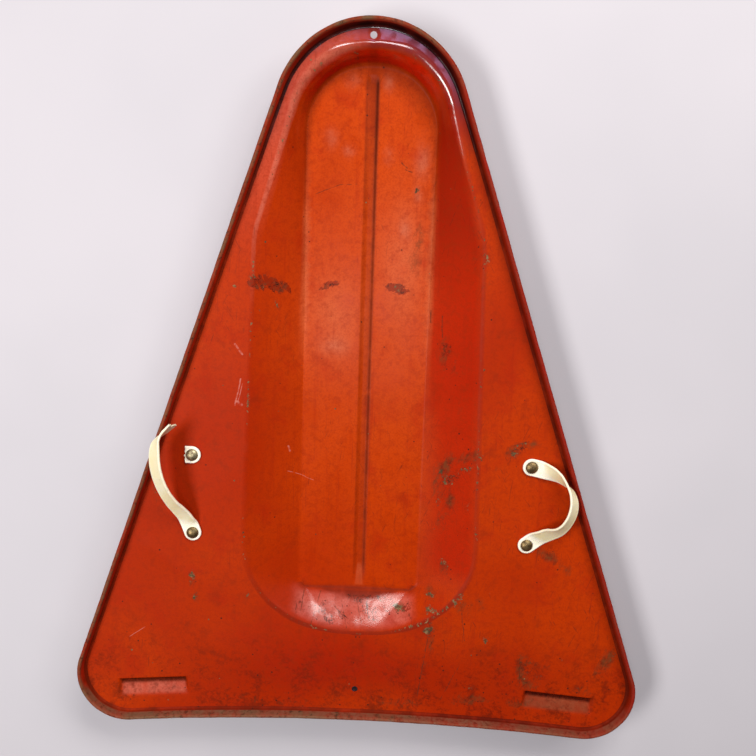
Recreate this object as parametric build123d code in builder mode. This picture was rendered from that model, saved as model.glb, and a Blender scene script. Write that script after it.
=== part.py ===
"""Pressed sheet-steel snow sled: a delta-shaped pan with a long seat trough,
a rolled rim, two riveted strap handles (one torn off at its front rivet) and
two rope holes.  Millimetres.  +Y is the nose, +X the rider's right as seen from
above with the nose away from the viewer, +Z up.  The origin is under the middle
of the sled, on the ground it lies on."""
import os
from math import atan2, cos, degrees, hypot, radians, sin, sqrt, tan

from build123d import *

os.makedirs("parts", exist_ok=True)

# ----------------------------------------------------------------- dimensions
SHEET = 0.9                 # steel sheet
TROUGH_DEPTH = 36.0         # flange top to trough floor top
KEEL_DEPTH = 2.4            # groove pressed down along the trough floor
Z_FLOOR = KEEL_DEPTH + SHEET          # top face of the trough floor
Z_FLANGE = Z_FLOOR + TROUGH_DEPTH     # top face of the flange

# plan outline: round nose, straight sides, round rear corners, hollow rear edge
NOSE_R = 114.0
NOSE_Y = 325.9              # centre of the nose arc
SIDE_ANGLE = 19.31          # side edge against the centreline, degrees
CORNER_R = 64.0
REAR_Y = -426.7             # rear edge on the centreline
REAR_R = 3353.0             # hollow of the rear edge

# rim: wall rising outwards from the flange, closed by a rolled bead
RIM_FOOT = 8.6             # inset of the wall's foot from the outermost edge
RIM_TOP = 3.8               # inset of the wall's top
RIM_WALL = 10.6              # height of the wall
RIM_SKIN = 0.75             # horizontal thickness of the wall
BEAD_R = 2.4
BEAD_Z = Z_FLANGE + 10.8

# corners of the trough's outlines on the right side, nose to tail: x, y, radius
TROUGH_EDGE = [
    (69.65, 409.0, 92.0), (138.5, 200.5, 120.0), (149.6, -243.4, 110.0), (64.2, -310.1, 150.0),
]
TROUGH_FLOOR = [
    (79.5, 392.7, 76.0), (77.0, 106.9, 1500.0), (76.3, -257.1, 8.0), (68.3, -264.8, 8.0),
]
SKIN_OFFSET = 0.5           # sideways growth of the trough's underside

# groove along the trough floor
KEEL_FRONT, KEEL_REAR = 369.0, -257.0
KEEL_TOP_HALF, KEEL_BOTTOM_HALF = 6.3, 2.6

# two wedge-shaped pockets in the rear flange
POCKET_X, POCKET_Y = 267.0, -384.8    # middle of the steep front edge
POCKET_LENGTH = 98.0
POCKET_WIDTH = 24.0
POCKET_STEEP = 4.0
POCKET_DEPTH = 6.5
POCKET_TURN = 4.5           # follows the hollow rear edge, degrees

# holes for rope
ROPE_HOLE_R = 4.0
TOW_HOLE_Y = 422.0
REAR_HOLE_Y = -388.5

# rivets and straps
RIVET_X, RIVET_FRONT_Y, RIVET_REAR_Y = 211.5, -78.0, -179.6
RIVET_SHANK_R = 2.5
RIVET_HEAD_R = 7.6
RIVET_HEAD_RIM = 0.9
RIVET_HEAD_H = 4.2
DOME_H = RIVET_HEAD_H - RIVET_HEAD_RIM
DOME_R = (RIVET_HEAD_R ** 2 + DOME_H ** 2) / (2 * DOME_H)      # spherical dome
DOME_EDGE = degrees(atan2(DOME_R - DOME_H, RIVET_HEAD_R))
RIVET_TAIL_R = 4.6
RIVET_TAIL_H = 1.4
PIVOT_PLAY = 0.05           # radial play of the rivet shanks
STRAP_W = 22.0
STRAP_T = 3.0
SWIVEL_GAP = 0.25           # play above and below the strap that swivels
STUB_TEAR = 8.6             # torn edge of the stub from its rivet

# strap centrelines: x, y, height of the strap's middle over the flange,
# roll about the run (0 and 180 lie flat, 90 stands on edge)
RIGHT_STRAP = [
    (211.5, -78.0, 1.5, 0), (220.3, -79.6, 1.5, 0), (234.5, -83.4, 6.9, 27),
    (244.7, -88.0, 10.8, 54), (252.8, -94.8, 15.9, 81), (259.2, -103.4, 21.0, 108),
    (261.7, -114.6, 24.7, 123), (260.8, -126.6, 26.0, 131), (257.1, -138.2, 25.3, 134),
    (251.3, -148.5, 22.6, 139), (243.5, -156.0, 17.4, 148), (234.9, -161.6, 10.8, 160),
    (218.6, -174.0, 1.5, 180), (211.5, -179.6, 1.5, 180),
]
LEFT_STRAP = [
    (-211.5, -179.6, 1.5, 180), (-214.5, -171.1, 1.5, 180), (-219.9, -157.3, 7.6, 162),
    (-225.0, -147.6, 13.1, 157), (-230.5, -138.2, 19.1, 151), (-235.6, -128.2, 24.2, 147),
    (-240.1, -117.4, 28.2, 144.5), (-245.4, -100.1, 32.4, 142.5), (-248.1, -81.9, 34.7, 141),
    (-248.3, -69.5, 35.3, 138), (-247.4, -60.3, 34.9, 130), (-244.7, -51.9, 33.4, 108),
    (-237.0, -42.8, 31.0, 82), (-227.7, -34.1, 29.3, 76),
]


# -------------------------------------------------------------------- outlines
def sled_outline(inset, z):
    """The sled's plan outline, moved inwards by inset, at height z."""
    a = radians(SIDE_ANGLE)
    n = (cos(a), sin(a))                      # outward from the right side
    d = (sin(a), -cos(a))                     # along the right side, rearwards
    rear_c = REAR_Y - REAR_R
    p = ((NOSE_R - CORNER_R) * n[0], NOSE_Y + (NOSE_R - CORNER_R) * n[1] - rear_c)
    pd = p[0] * d[0] + p[1] * d[1]
    s = -pd - sqrt(pd * pd - (p[0] ** 2 + p[1] ** 2 - (REAR_R + CORNER_R) ** 2))
    cx, cy = p[0] + s * d[0], p[1] + s * d[1] + rear_c     # rear corner's centre
    rear_dir = degrees(atan2(cy - rear_c, cx))
    with BuildSketch(Plane.XY.offset(z)) as face:
        with BuildLine():
            CenterArc((0, NOSE_Y), NOSE_R - inset, SIDE_ANGLE, 180 - 2 * SIDE_ANGLE)
            for side in (-1, 1):
                Line((side * (NOSE_R - inset) * n[0], NOSE_Y + (NOSE_R - inset) * n[1]),
                     (side * (cx + (CORNER_R - inset) * n[0]), cy + (CORNER_R - inset) * n[1]))
            turn = SIDE_ANGLE - (rear_dir - 180)
            CenterArc((cx, cy), CORNER_R - inset, rear_dir - 180, turn)
            CenterArc((-cx, cy), CORNER_R - inset, 180 - SIDE_ANGLE, turn)
            CenterArc((0, rear_c), REAR_R + inset, rear_dir, 180 - 2 * rear_dir)
        make_face()
    return face.sketch


def trough_outline(table, grow, z):
    """A trough outline from its corner table, moved outwards by grow, at height z."""
    loop = table + [(-x, y, r) for x, y, r in reversed(table)]
    moved = []
    for i, (x, y, r) in enumerate(loop):
        (xa, ya, _), (xb, yb, _) = loop[i - 1], loop[(i + 1) % len(loop)]
        la, lb = hypot(x - xa, y - ya), hypot(xb - x, yb - y)
        u0, v0, u1, v1 = (x - xa) / la, (y - ya) / la, (xb - x) / lb, (yb - y) / lb
        k = grow / (1 + u0 * u1 + v0 * v1)    # mitre of the two moved edges
        moved.append((x - (v0 + v1) * k, y + (u0 + u1) * k))
    with BuildSketch(Plane.XY.offset(z)) as face:
        with BuildLine():
            FilletPolyline(moved, radius=[r + grow for x, y, r in loop], close=True)
        make_face()
    return face.sketch


def strap_planes(table, base):
    """Section planes of a strap: x across its width, z along its run."""
    pts = [Vector(x, y, base + h) for x, y, h, roll in table]
    planes = []
    for i, (x, y, h, roll) in enumerate(table):
        run = (pts[min(i + 1, len(pts) - 1)] - pts[max(i - 1, 0)]).normalized()
        if h == 1.5:
            run = Vector(run.X, run.Y, 0).normalized()
        left = Vector(0, 0, 1).cross(run).normalized()
        up = run.cross(left)
        r = radians(roll)
        planes.append(Plane(origin=pts[i], x_dir=left * cos(r) + up * sin(r), z_dir=run))
    return planes


# ------------------------------------------------------------------------- pan
with BuildPart() as pan:
    # flange with the outward-leaning rim wall
    loft(sections=[sled_outline(RIM_FOOT - RIM_SKIN, Z_FLANGE - SHEET),
                   sled_outline(RIM_TOP - RIM_SKIN, Z_FLANGE + RIM_WALL)], ruled=True)
    loft(sections=[sled_outline(RIM_FOOT, Z_FLANGE),
                   sled_outline(RIM_TOP, Z_FLANGE + RIM_WALL)], ruled=True, mode=Mode.SUBTRACT)
    # trough
    loft(sections=[trough_outline(TROUGH_EDGE, SKIN_OFFSET + 0.6, Z_FLANGE - SHEET / 2),
                   trough_outline(TROUGH_FLOOR, SKIN_OFFSET, Z_FLOOR - SHEET)], ruled=True)
    # keel under the groove
    with BuildSketch(Plane.XZ.offset(-KEEL_FRONT)):
        with BuildLine():
            Polyline((-KEEL_TOP_HALF - 0.6, Z_FLOOR - SHEET / 2), (KEEL_TOP_HALF + 0.6, Z_FLOOR - SHEET / 2),
                     (KEEL_BOTTOM_HALF + 0.4, 0), (-KEEL_BOTTOM_HALF - 0.4, 0), close=True)
        make_face()
    extrude(amount=KEEL_FRONT - KEEL_REAR)
    # undersides of the two rear pockets
    for side in (-1, 1):
        turn = radians(-side * POCKET_TURN)
        pocket_plane = Plane(origin=(side * POCKET_X, POCKET_Y, Z_FLANGE),
                             x_dir=(sin(turn), -cos(turn), 0), z_dir=(-cos(turn), -sin(turn), 0))
        with BuildSketch(pocket_plane):
            with BuildLine():
                Polyline((-0.8, -SHEET / 2), (POCKET_STEEP - 0.6, -POCKET_DEPTH - SHEET),
                         (POCKET_STEEP + 1.0, -POCKET_DEPTH - SHEET),
                         (POCKET_WIDTH + 0.8, -SHEET / 2), close=True)
            make_face()
        extrude(amount=POCKET_LENGTH / 2 + SHEET, both=True)
    # hollow of the trough, the groove and the pockets
    loft(sections=[trough_outline(TROUGH_EDGE, 0, Z_FLANGE),
                   trough_outline(TROUGH_FLOOR, 0, Z_FLOOR)], ruled=True, mode=Mode.SUBTRACT)
    with BuildSketch(Plane.XZ.offset(-KEEL_FRONT + SHEET)):
        with BuildLine():
            Polyline((-KEEL_TOP_HALF, Z_FLOOR + 1), (KEEL_TOP_HALF, Z_FLOOR + 1), (KEEL_TOP_HALF, Z_FLOOR),
                     (KEEL_BOTTOM_HALF, SHEET), (-KEEL_BOTTOM_HALF, SHEET), (-KEEL_TOP_HALF, Z_FLOOR), close=True)
        make_face()
    extrude(amount=KEEL_FRONT - KEEL_REAR - 2 * SHEET, mode=Mode.SUBTRACT)
    for side in (-1, 1):
        turn = radians(-side * POCKET_TURN)
        pocket_plane = Plane(origin=(side * POCKET_X, POCKET_Y, Z_FLANGE),
                             x_dir=(sin(turn), -cos(turn), 0), z_dir=(-cos(turn), -sin(turn), 0))
        with BuildSketch(pocket_plane):
            with BuildLine():
                Polyline((0, 1), (0, 0), (POCKET_STEEP, -POCKET_DEPTH), (POCKET_STEEP + 1.0, -POCKET_DEPTH),
                         (POCKET_WIDTH, 0), (POCKET_WIDTH, 1), close=True)
            make_face()
        extrude(amount=POCKET_LENGTH / 2, both=True, mode=Mode.SUBTRACT)
    # rolled bead along the top of the rim
    bead_path = sled_outline(BEAD_R, BEAD_Z).face().outer_wire()
    with BuildSketch(Plane(origin=bead_path @ 0, z_dir=bead_path % 0)):
        Circle(BEAD_R)
    sweep(path=bead_path)
    # rope holes and rivet holes
    with Locations((0, TOW_HOLE_Y, Z_FLANGE), (0, REAR_HOLE_Y, Z_FLANGE)):
        Cylinder(ROPE_HOLE_R, 4 * SHEET, mode=Mode.SUBTRACT)
    with Locations(*[(sx * RIVET_X, y, Z_FLANGE) for sx in (-1, 1) for y in (RIVET_FRONT_Y, RIVET_REAR_Y)]):
        Cylinder(RIVET_SHANK_R + PIVOT_PLAY, 4 * SHEET, mode=Mode.SUBTRACT)
pan.part.label = "pan"
export_step(pan.part, "parts/pan.step")

# --------------------------------------------------------------------- straps
# right handle: a loop between its two rivets
with BuildPart() as right_handle_strap:
    for plane in strap_planes(RIGHT_STRAP, Z_FLANGE):
        with BuildSketch(plane):
            Rectangle(STRAP_W, STRAP_T)
    loft(ruled=True)
    with BuildSketch(Plane.XY.offset(Z_FLANGE)):
        with Locations((RIVET_X, RIVET_FRONT_Y), (RIVET_X, RIVET_REAR_Y)):
            Circle(STRAP_W / 2)
    extrude(amount=STRAP_T)
    with Locations((RIVET_X, RIVET_FRONT_Y, Z_FLANGE), (RIVET_X, RIVET_REAR_Y, Z_FLANGE)):
        Cylinder(RIVET_SHANK_R + PIVOT_PLAY, 4 * STRAP_T, mode=Mode.SUBTRACT)
right_handle_strap.part.label = "right_handle_strap"
export_step(right_handle_strap.part, "parts/right_handle_strap.step")

# left handle: torn off at its front rivet, free to swivel on the rear one
with BuildPart() as left_handle_strap:
    for plane in strap_planes(LEFT_STRAP, Z_FLANGE + SWIVEL_GAP):
        with BuildSketch(plane):
            Rectangle(STRAP_W, STRAP_T)
    loft(ruled=True)
    with BuildSketch(Plane.XY.offset(Z_FLANGE + SWIVEL_GAP)):
        with Locations((-RIVET_X, RIVET_REAR_Y)):
            Circle(STRAP_W / 2)
    extrude(amount=STRAP_T)
    with Locations((-RIVET_X, RIVET_REAR_Y, Z_FLANGE)):
        Cylinder(RIVET_SHANK_R + PIVOT_PLAY, 4 * STRAP_T, mode=Mode.SUBTRACT)
left_handle_strap.part.label = "left_handle_strap"
export_step(left_handle_strap.part, "parts/left_handle_strap.step")

# stub of the left handle, still under its front rivet
with BuildPart() as left_strap_stub:
    with BuildSketch(Plane.XY.offset(Z_FLANGE)):
        with Locations((-RIVET_X, RIVET_FRONT_Y)):
            Circle(STRAP_W / 2)
            Rectangle(STRAP_W, STRAP_W, align=(Align.MAX, Align.CENTER))
            Circle(RIVET_SHANK_R + PIVOT_PLAY, mode=Mode.SUBTRACT)
        with Locations((-RIVET_X - STUB_TEAR, RIVET_FRONT_Y)):
            Rectangle(STRAP_W, 2 * STRAP_W, align=(Align.MAX, Align.CENTER), mode=Mode.SUBTRACT)
    extrude(amount=STRAP_T)
left_strap_stub.part.label = "left_strap_stub"
export_step(left_strap_stub.part, "parts/left_strap_stub.step")

# --------------------------------------------------------------------- rivets
# node name, side, y, play over and under the strap
RIVETS = [
    ("left_front_rivet", -1, RIVET_FRONT_Y, 0.0),
    ("left_rear_rivet", -1, RIVET_REAR_Y, SWIVEL_GAP),
    ("right_front_rivet", 1, RIVET_FRONT_Y, 0.0),
    ("right_rear_rivet", 1, RIVET_REAR_Y, 0.0),
]
for name, side, y, play in RIVETS:
    seat = Z_FLANGE + STRAP_T + 2 * play       # underside of the head
    under = Z_FLANGE - SHEET                   # sheet's underside
    with BuildPart() as rivet:
        with BuildSketch(Plane(origin=(side * RIVET_X, y, 0), x_dir=(1, 0, 0), z_dir=(0, -1, 0))):
            with BuildLine():
                Polyline((0, seat + RIVET_HEAD_H), (0, under - RIVET_TAIL_H), (RIVET_TAIL_R, under - RIVET_TAIL_H),
                         (RIVET_TAIL_R, under), (RIVET_SHANK_R, under), (RIVET_SHANK_R, seat),
                         (RIVET_HEAD_R, seat), (RIVET_HEAD_R, seat + RIVET_HEAD_RIM))
                CenterArc((0, seat + RIVET_HEAD_H - DOME_R), DOME_R, DOME_EDGE, 90 - DOME_EDGE)
            make_face()
        revolve(axis=Axis((side * RIVET_X, y, 0), (0, 0, 1)))
    rivet.part.label = name
    export_step(rivet.part, f"parts/{name}.step")
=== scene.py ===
"""Looks of the pressed-steel snow sled: the sheet pan with its rolled rim, two vinyl strap
handles, the stub of the torn one and four domed rivets.  Shapes are worked out in millimetres
in the sled's own frame (+Y nose, +Z up) and stored in metres."""
import math

import bpy
import numpy as np
from mathutils import Matrix, Vector
from mathutils.geometry import delaunay_2d_cdt


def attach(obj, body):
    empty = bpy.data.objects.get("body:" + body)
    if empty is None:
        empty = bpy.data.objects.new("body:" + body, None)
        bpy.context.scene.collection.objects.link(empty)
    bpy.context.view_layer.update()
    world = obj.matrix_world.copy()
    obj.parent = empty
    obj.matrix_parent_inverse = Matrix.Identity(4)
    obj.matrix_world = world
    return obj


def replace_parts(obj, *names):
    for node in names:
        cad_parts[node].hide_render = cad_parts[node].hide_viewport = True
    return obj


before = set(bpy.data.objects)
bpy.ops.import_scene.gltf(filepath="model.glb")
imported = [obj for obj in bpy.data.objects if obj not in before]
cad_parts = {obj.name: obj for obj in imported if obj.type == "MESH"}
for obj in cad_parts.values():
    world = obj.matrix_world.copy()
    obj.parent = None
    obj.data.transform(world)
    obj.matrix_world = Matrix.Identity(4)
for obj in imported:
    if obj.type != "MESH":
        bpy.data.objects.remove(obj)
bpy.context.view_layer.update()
rng = np.random.default_rng(11)
sin, cos, tan, pi, radians = math.sin, math.cos, math.tan, math.pi, math.radians

# ------------------------------------------------------------------ dimensions
SHEET = 0.9
Z_FLOOR, Z_FLANGE = 3.3, 39.3
DEPTH = Z_FLANGE - Z_FLOOR
NOSE_R, NOSE_Y, SIDE_ANGLE = 114.0, 325.9, 19.31
CORNER_R, REAR_Y, REAR_R = 64.0, -426.7, 3353.0
BEAD_R, BEAD_IN, BEAD_UP = 2.4, 2.4, 10.8          # rolled edge: radius, inset and height of its middle
FOOT_BEND = 3.0
RIM_FOOT = {"nose": 8.4, "side": 6.8, "corner": 7.0, "rear": 7.0}
# corners of the trough's two outlines, right side from nose to tail: x, y, radius
EDGE_RIGHT = [(69.65, 409.0, 92.0), (138.5, 200.5, 120.0), (149.6, -243.4, 110.0), (64.2, -310.1, 150.0)]
EDGE_LEFT = [(69.65, 409.0, 92.0), (135.2, 197.0, 120.0), (149.6, -243.4, 110.0), (64.2, -310.1, 150.0)]
FLOOR = [(79.5, 398.5, 76.0), (77.0, 106.9, 1500.0), (76.3, -257.1, 8.0), (68.3, -264.8, 8.0)]
FLOOR_LEFT = [(79.5, 398.5, 76.0), (78.0, 106.9, 1500.0), (80.3, -257.1, 8.0), (72.3, -264.8, 8.0)]
GROOVE_FRONT, GROOVE_REAR, GROOVE_DEPTH = 388.0, -257.0, 2.25
POCKET_X, POCKET_Y, POCKET_LENGTH, POCKET_WIDTH = 267.0, -384.8, 89.0, 24.0
POCKET_STEEP, POCKET_DEPTH, POCKET_TURN = 4.0, 6.5, 4.5
HOLE_R, TOW_HOLE_Y, REAR_HOLE_Y = 4.0, 422.0, -388.5
RIVET_X, RIVET_FRONT_Y, RIVET_REAR_Y = 211.5, -78.0, -179.6
STRAP_W, STRAP_T, SWIVEL_GAP = 22.0, 3.0, 0.25


def smooth(x, lo, hi):
    t = np.clip((np.asarray(x, float) - lo) / (hi - lo), 0, 1)
    return t * t * (3 - 2 * t)


# ------------------------------------------------------------------- pan: plan
def outline():
    """Stations round the outermost edge, counter-clockwise from the right end of the nose arc:
    points, outward normals and the name of the stretch."""
    a = radians(SIDE_ANGLE)
    n, d = np.array([cos(a), sin(a)]), np.array([sin(a), -cos(a)])
    rear_c = REAR_Y - REAR_R
    p = np.array([(NOSE_R - CORNER_R) * n[0], NOSE_Y + (NOSE_R - CORNER_R) * n[1] - rear_c])
    s = -(p @ d) - math.sqrt((p @ d) ** 2 - (p @ p - (REAR_R + CORNER_R) ** 2))
    c = p + s * d + np.array([0, rear_c])
    rear_dir = math.atan2(c[1] - rear_c, c[0])
    pts, nrm, tag = [], [], []

    def arc(x, y, r, a0, a1, count, sign, name):
        for t in np.linspace(a0, a1, count, endpoint=False):
            u = np.array([cos(t), sin(t)])
            pts.append(np.array([x, y]) + r * u), nrm.append(sign * u), tag.append(name)

    def line(p0, p1, normal, count, name):
        for t in np.linspace(0, 1, count, endpoint=False):
            pts.append(p0 + t * (p1 - p0)), nrm.append(normal), tag.append(name)

    mirror = np.array([-1, 1])
    nose_end, corner_end = np.array([0, NOSE_Y]) + NOSE_R * n, c + CORNER_R * n
    arc(0, NOSE_Y, NOSE_R, a, pi - a, 92, 1, "nose")
    line(nose_end * mirror, corner_end * mirror, n * mirror, 132, "side")
    arc(-c[0], c[1], CORNER_R, pi - a, 2 * pi - rear_dir, 40, 1, "corner")
    arc(0, rear_c, REAR_R, pi - rear_dir, rear_dir, 112, -1, "rear")
    arc(c[0], c[1], CORNER_R, rear_dir - pi, a, 40, 1, "corner")
    line(corner_end, nose_end, n, 132, "side")
    return np.array(pts), np.array(nrm), tag


def rounded(corners, counts):
    """Points of a closed outline with rounded corners; counts holds each corner's arc and line points."""
    m, c = len(corners), np.array(corners, float)
    ends = []
    for i in range(m):
        p, q, r = c[i - 1, :2], c[i, :2], c[(i + 1) % m, :2]
        u0, u1 = (q - p) / np.linalg.norm(q - p), (r - q) / np.linalg.norm(r - q)
        turn = math.atan2(u0[0] * u1[1] - u0[1] * u1[0], u0 @ u1)
        t = c[i, 2] * tan(abs(turn) / 2)
        side = np.array([-u0[1], u0[0]]) * np.sign(turn)
        ends.append((q - u0 * t, q + u1 * t, q - u0 * t + side * c[i, 2], turn))
    out = []
    for i in range(m):
        a, b, mid, turn = ends[i]
        for k in range(counts[i][0]):
            g = turn * k / counts[i][0]
            v = a - mid
            out.append(mid + np.array([v[0] * cos(g) - v[1] * sin(g), v[0] * sin(g) + v[1] * cos(g)]))
        nxt = ends[(i + 1) % m][0]
        out += [b + (nxt - b) * k / counts[i][1] for k in range(counts[i][1])]
    return np.array(out)


def inside(points, loop):
    """Which points lie inside a closed loop."""
    x, y = points[:, 0], points[:, 1]
    hit = np.zeros(len(points), bool)
    for (x0, y0), (x1, y1) in zip(loop, np.roll(loop, -1, axis=0)):
        cross = (y0 > y) != (y1 > y)
        if y0 != y1:
            hit ^= cross & (x < (x1 - x0) * (y - y0) / (y1 - y0) + x0)
    return hit


def near(points, loop):
    """Distance from each point to the nearest point of a loop."""
    best = np.full(len(points), 1e9)
    for p in loop:
        best = np.minimum(best, np.hypot(points[:, 0] - p[0], points[:, 1] - p[1]))
    return best


def grid(lo, hi, step):
    """A triangular grid of points, a little uneven."""
    rows = np.arange(lo[1], hi[1], step * 0.866)
    pts = [(x + (k % 2) * step / 2, y) for k, y in enumerate(rows) for x in np.arange(lo[0], hi[0], step)]
    return np.array(pts) + rng.uniform(-0.12, 0.12, (len(pts), 2)) * step


def pocket_depth(x, y):
    """Depth of the two wedge-shaped pockets at a point of the flange."""
    total = np.zeros_like(x)
    for side in (-1, 1):
        t = radians(-side * POCKET_TURN)
        dx, dy = x - side * POCKET_X, y - POCKET_Y
        w, s = dx * sin(t) - dy * cos(t), dx * cos(t) + dy * sin(t)
        steep = POCKET_DEPTH * w / POCKET_STEEP
        ramp = POCKET_DEPTH * (POCKET_WIDTH - w) / (POCKET_WIDTH - POCKET_STEEP - 1)
        ends = POCKET_DEPTH * (POCKET_LENGTH / 2 + 1.5 - np.abs(s)) / 5.5
        k = 1.1
        low = -k * np.logaddexp(np.logaddexp(-steep / k, -ramp / k), -ends / k)
        total += np.where(np.minimum(np.minimum(steep, ramp), ends) > -6, 0.7 * np.logaddexp(low / 0.7, 0), 0)
    return np.minimum(total, POCKET_DEPTH)


# --------------------------------------------------- pan: strips and fills (top)
V, F = [], []                                   # vertices and faces of the sheet's upper side
ATTR = {k: [] for k in ("bead", "foot", "edge", "floor", "heel", "tail", "nose_purple_sheen", "wall")}


def vertex(x, y, z, **marks):
    V.append((x, y, z))
    for k, values in ATTR.items():
        values.append(float(marks.get(k, 0.0)))
    return len(V) - 1


def strip(rows, flip):
    """Quads between neighbouring closed rows of vertex numbers."""
    for a, b in zip(rows, rows[1:]):
        m = len(a)
        for i in range(m):
            q = (a[i], a[(i + 1) % m], b[(i + 1) % m], b[i])
            F.append(q[::-1] if flip else q)


def fill(loops, extra, z_of):
    """Triangles inside the first loop and outside the others, through the extra points."""
    known = [i for loop in loops for i in loop]
    pts = [Vector(V[i][:2]) for i in known] + [Vector(p) for p in extra]
    edges, o = [], 0
    for loop in loops:
        edges += [(o + k, o + (k + 1) % len(loop)) for k in range(len(loop))]
        o += len(loop)
    verts, _, tris, origin, _, _ = delaunay_2d_cdt(pts, edges, [], 0, 1e-6)
    co = np.array([v[:] for v in verts])
    mid = np.array([co[list(t)].mean(0) for t in tris])
    rings = [np.array([V[i][:2] for i in loop]) for loop in loops]
    keep = inside(mid, rings[0])
    for ring in rings[1:]:
        keep &= ~inside(mid, ring)
    number = {}
    for t, ok in zip(tris, keep):
        if not ok:
            continue
        for k in t:
            if k not in number:
                old = [s for s in origin[k] if s < len(known)]
                number[k] = known[old[0]] if old else vertex(*co[k], z_of(*co[k]))
        a, b, c = (number[k] for k in t)
        up = (co[t[1]] - co[t[0]])[0] * (co[t[2]] - co[t[0]])[1] - (co[t[1]] - co[t[0]])[1] * (co[t[2]] - co[t[0]])[0]
        F.append((a, b, c) if up > 0 else (a, c, b))


# rim: foot bend, wall leaning outwards, rolled edge
edge_pts, edge_nrm, edge_tag = outline()
step = np.linalg.norm(np.roll(edge_pts, -1, axis=0) - edge_pts, axis=1)
arc_at, round_len = np.concatenate([[0], np.cumsum(step)[:-1]]), step.sum()
raw_foot = np.array([RIM_FOOT[t] for t in edge_tag])
gap = np.abs(arc_at[:, None] - arc_at[None, :])
gap = np.minimum(gap, round_len - gap)
weight = np.exp(-(gap / 30.0) ** 2) * step[None, :]
foot = (weight * raw_foot[None, :]).sum(1) / weight.sum(1)


def wobble(s, waves, seed):
    """A closed, uneven wave round the rim."""
    r = np.random.default_rng(seed)
    return sum(r.normal(0, 1) * np.sin(2 * pi * k * s / round_len + r.uniform(0, 2 * pi)) for k in waves) / math.sqrt(len(waves))


bead_out = 0.10 * wobble(arc_at, range(9, 60, 3), 3)
bead_lift = 0.14 * wobble(arc_at, range(7, 70, 3), 4)
bead_size = np.clip(BEAD_R + 0.12 * wobble(arc_at, range(20, 120, 5), 5) - 0.08, 2.0, 2.42)
rim_rows = []
for i in range(len(edge_pts)):
    f, br = foot[i], bead_size[i]
    ci, cz = max(BEAD_IN + bead_out[i] + 0.1, br + 0.08), min(BEAD_UP + bead_lift[i] - 0.15, 13.1 - br)
    reach = math.hypot(ci - f, cz)
    th = math.atan2(cz, ci - f) - math.asin(br / reach)
    turn = pi - th
    t = FOOT_BEND * tan(turn / 2)
    prof = [(f + t + 0.5, 0.0, 0.0, 0.12, 0.0)]
    prof += [(f + t - FOOT_BEND * sin(g), FOOT_BEND - FOOT_BEND * cos(g), 0.0, 1.0, 0.5) for g in np.linspace(0, turn, 7)]
    a0 = th - pi / 2
    tip = (ci + br * cos(a0), cz + br * sin(a0))
    last = prof[-1]
    # painted shade: the foot weights darken the rim's inner wall, more on the right side and inside the nose
    fore, aft = float(smooth(edge_pts[i][1], 330, 400)), float(smooth(-edge_pts[i][1], 385, 415))
    fore *= 0.40 + 0.60 * float(smooth(edge_pts[i][0], -95, -15))
    prof += [(last[0] + (tip[0] - last[0]) * k, last[1] + (tip[1] - last[1]) * k, max(0, k - 0.55) * 0.9 + aft * (0.75 + 0.2 * k), max((0.32 + 0.58 * float(smooth(edge_pts[i][0], -20, 60))) * (1 - k) ** 1.3, fore * (1.15 - 0.3 * k)), 1.0)
             for k in (0.25, 0.5, 0.75)]
    prof += [(ci + br * cos(g), cz + br * sin(g), min(1.0, 0.5 + 0.8 * (g - a0)), 0.0, 1.0)
             for g in np.linspace(a0, radians(308), 15)]
    p, n = edge_pts[i], edge_nrm[i]
    rim_rows.append([vertex(*(p - a * n), Z_FLANGE + z, bead=b, foot=w, wall=q) for a, z, b, w, q in prof])
rim_rows = list(map(list, zip(*rim_rows)))
strip(rim_rows, True)
rim_inner = rim_rows[0]

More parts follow.
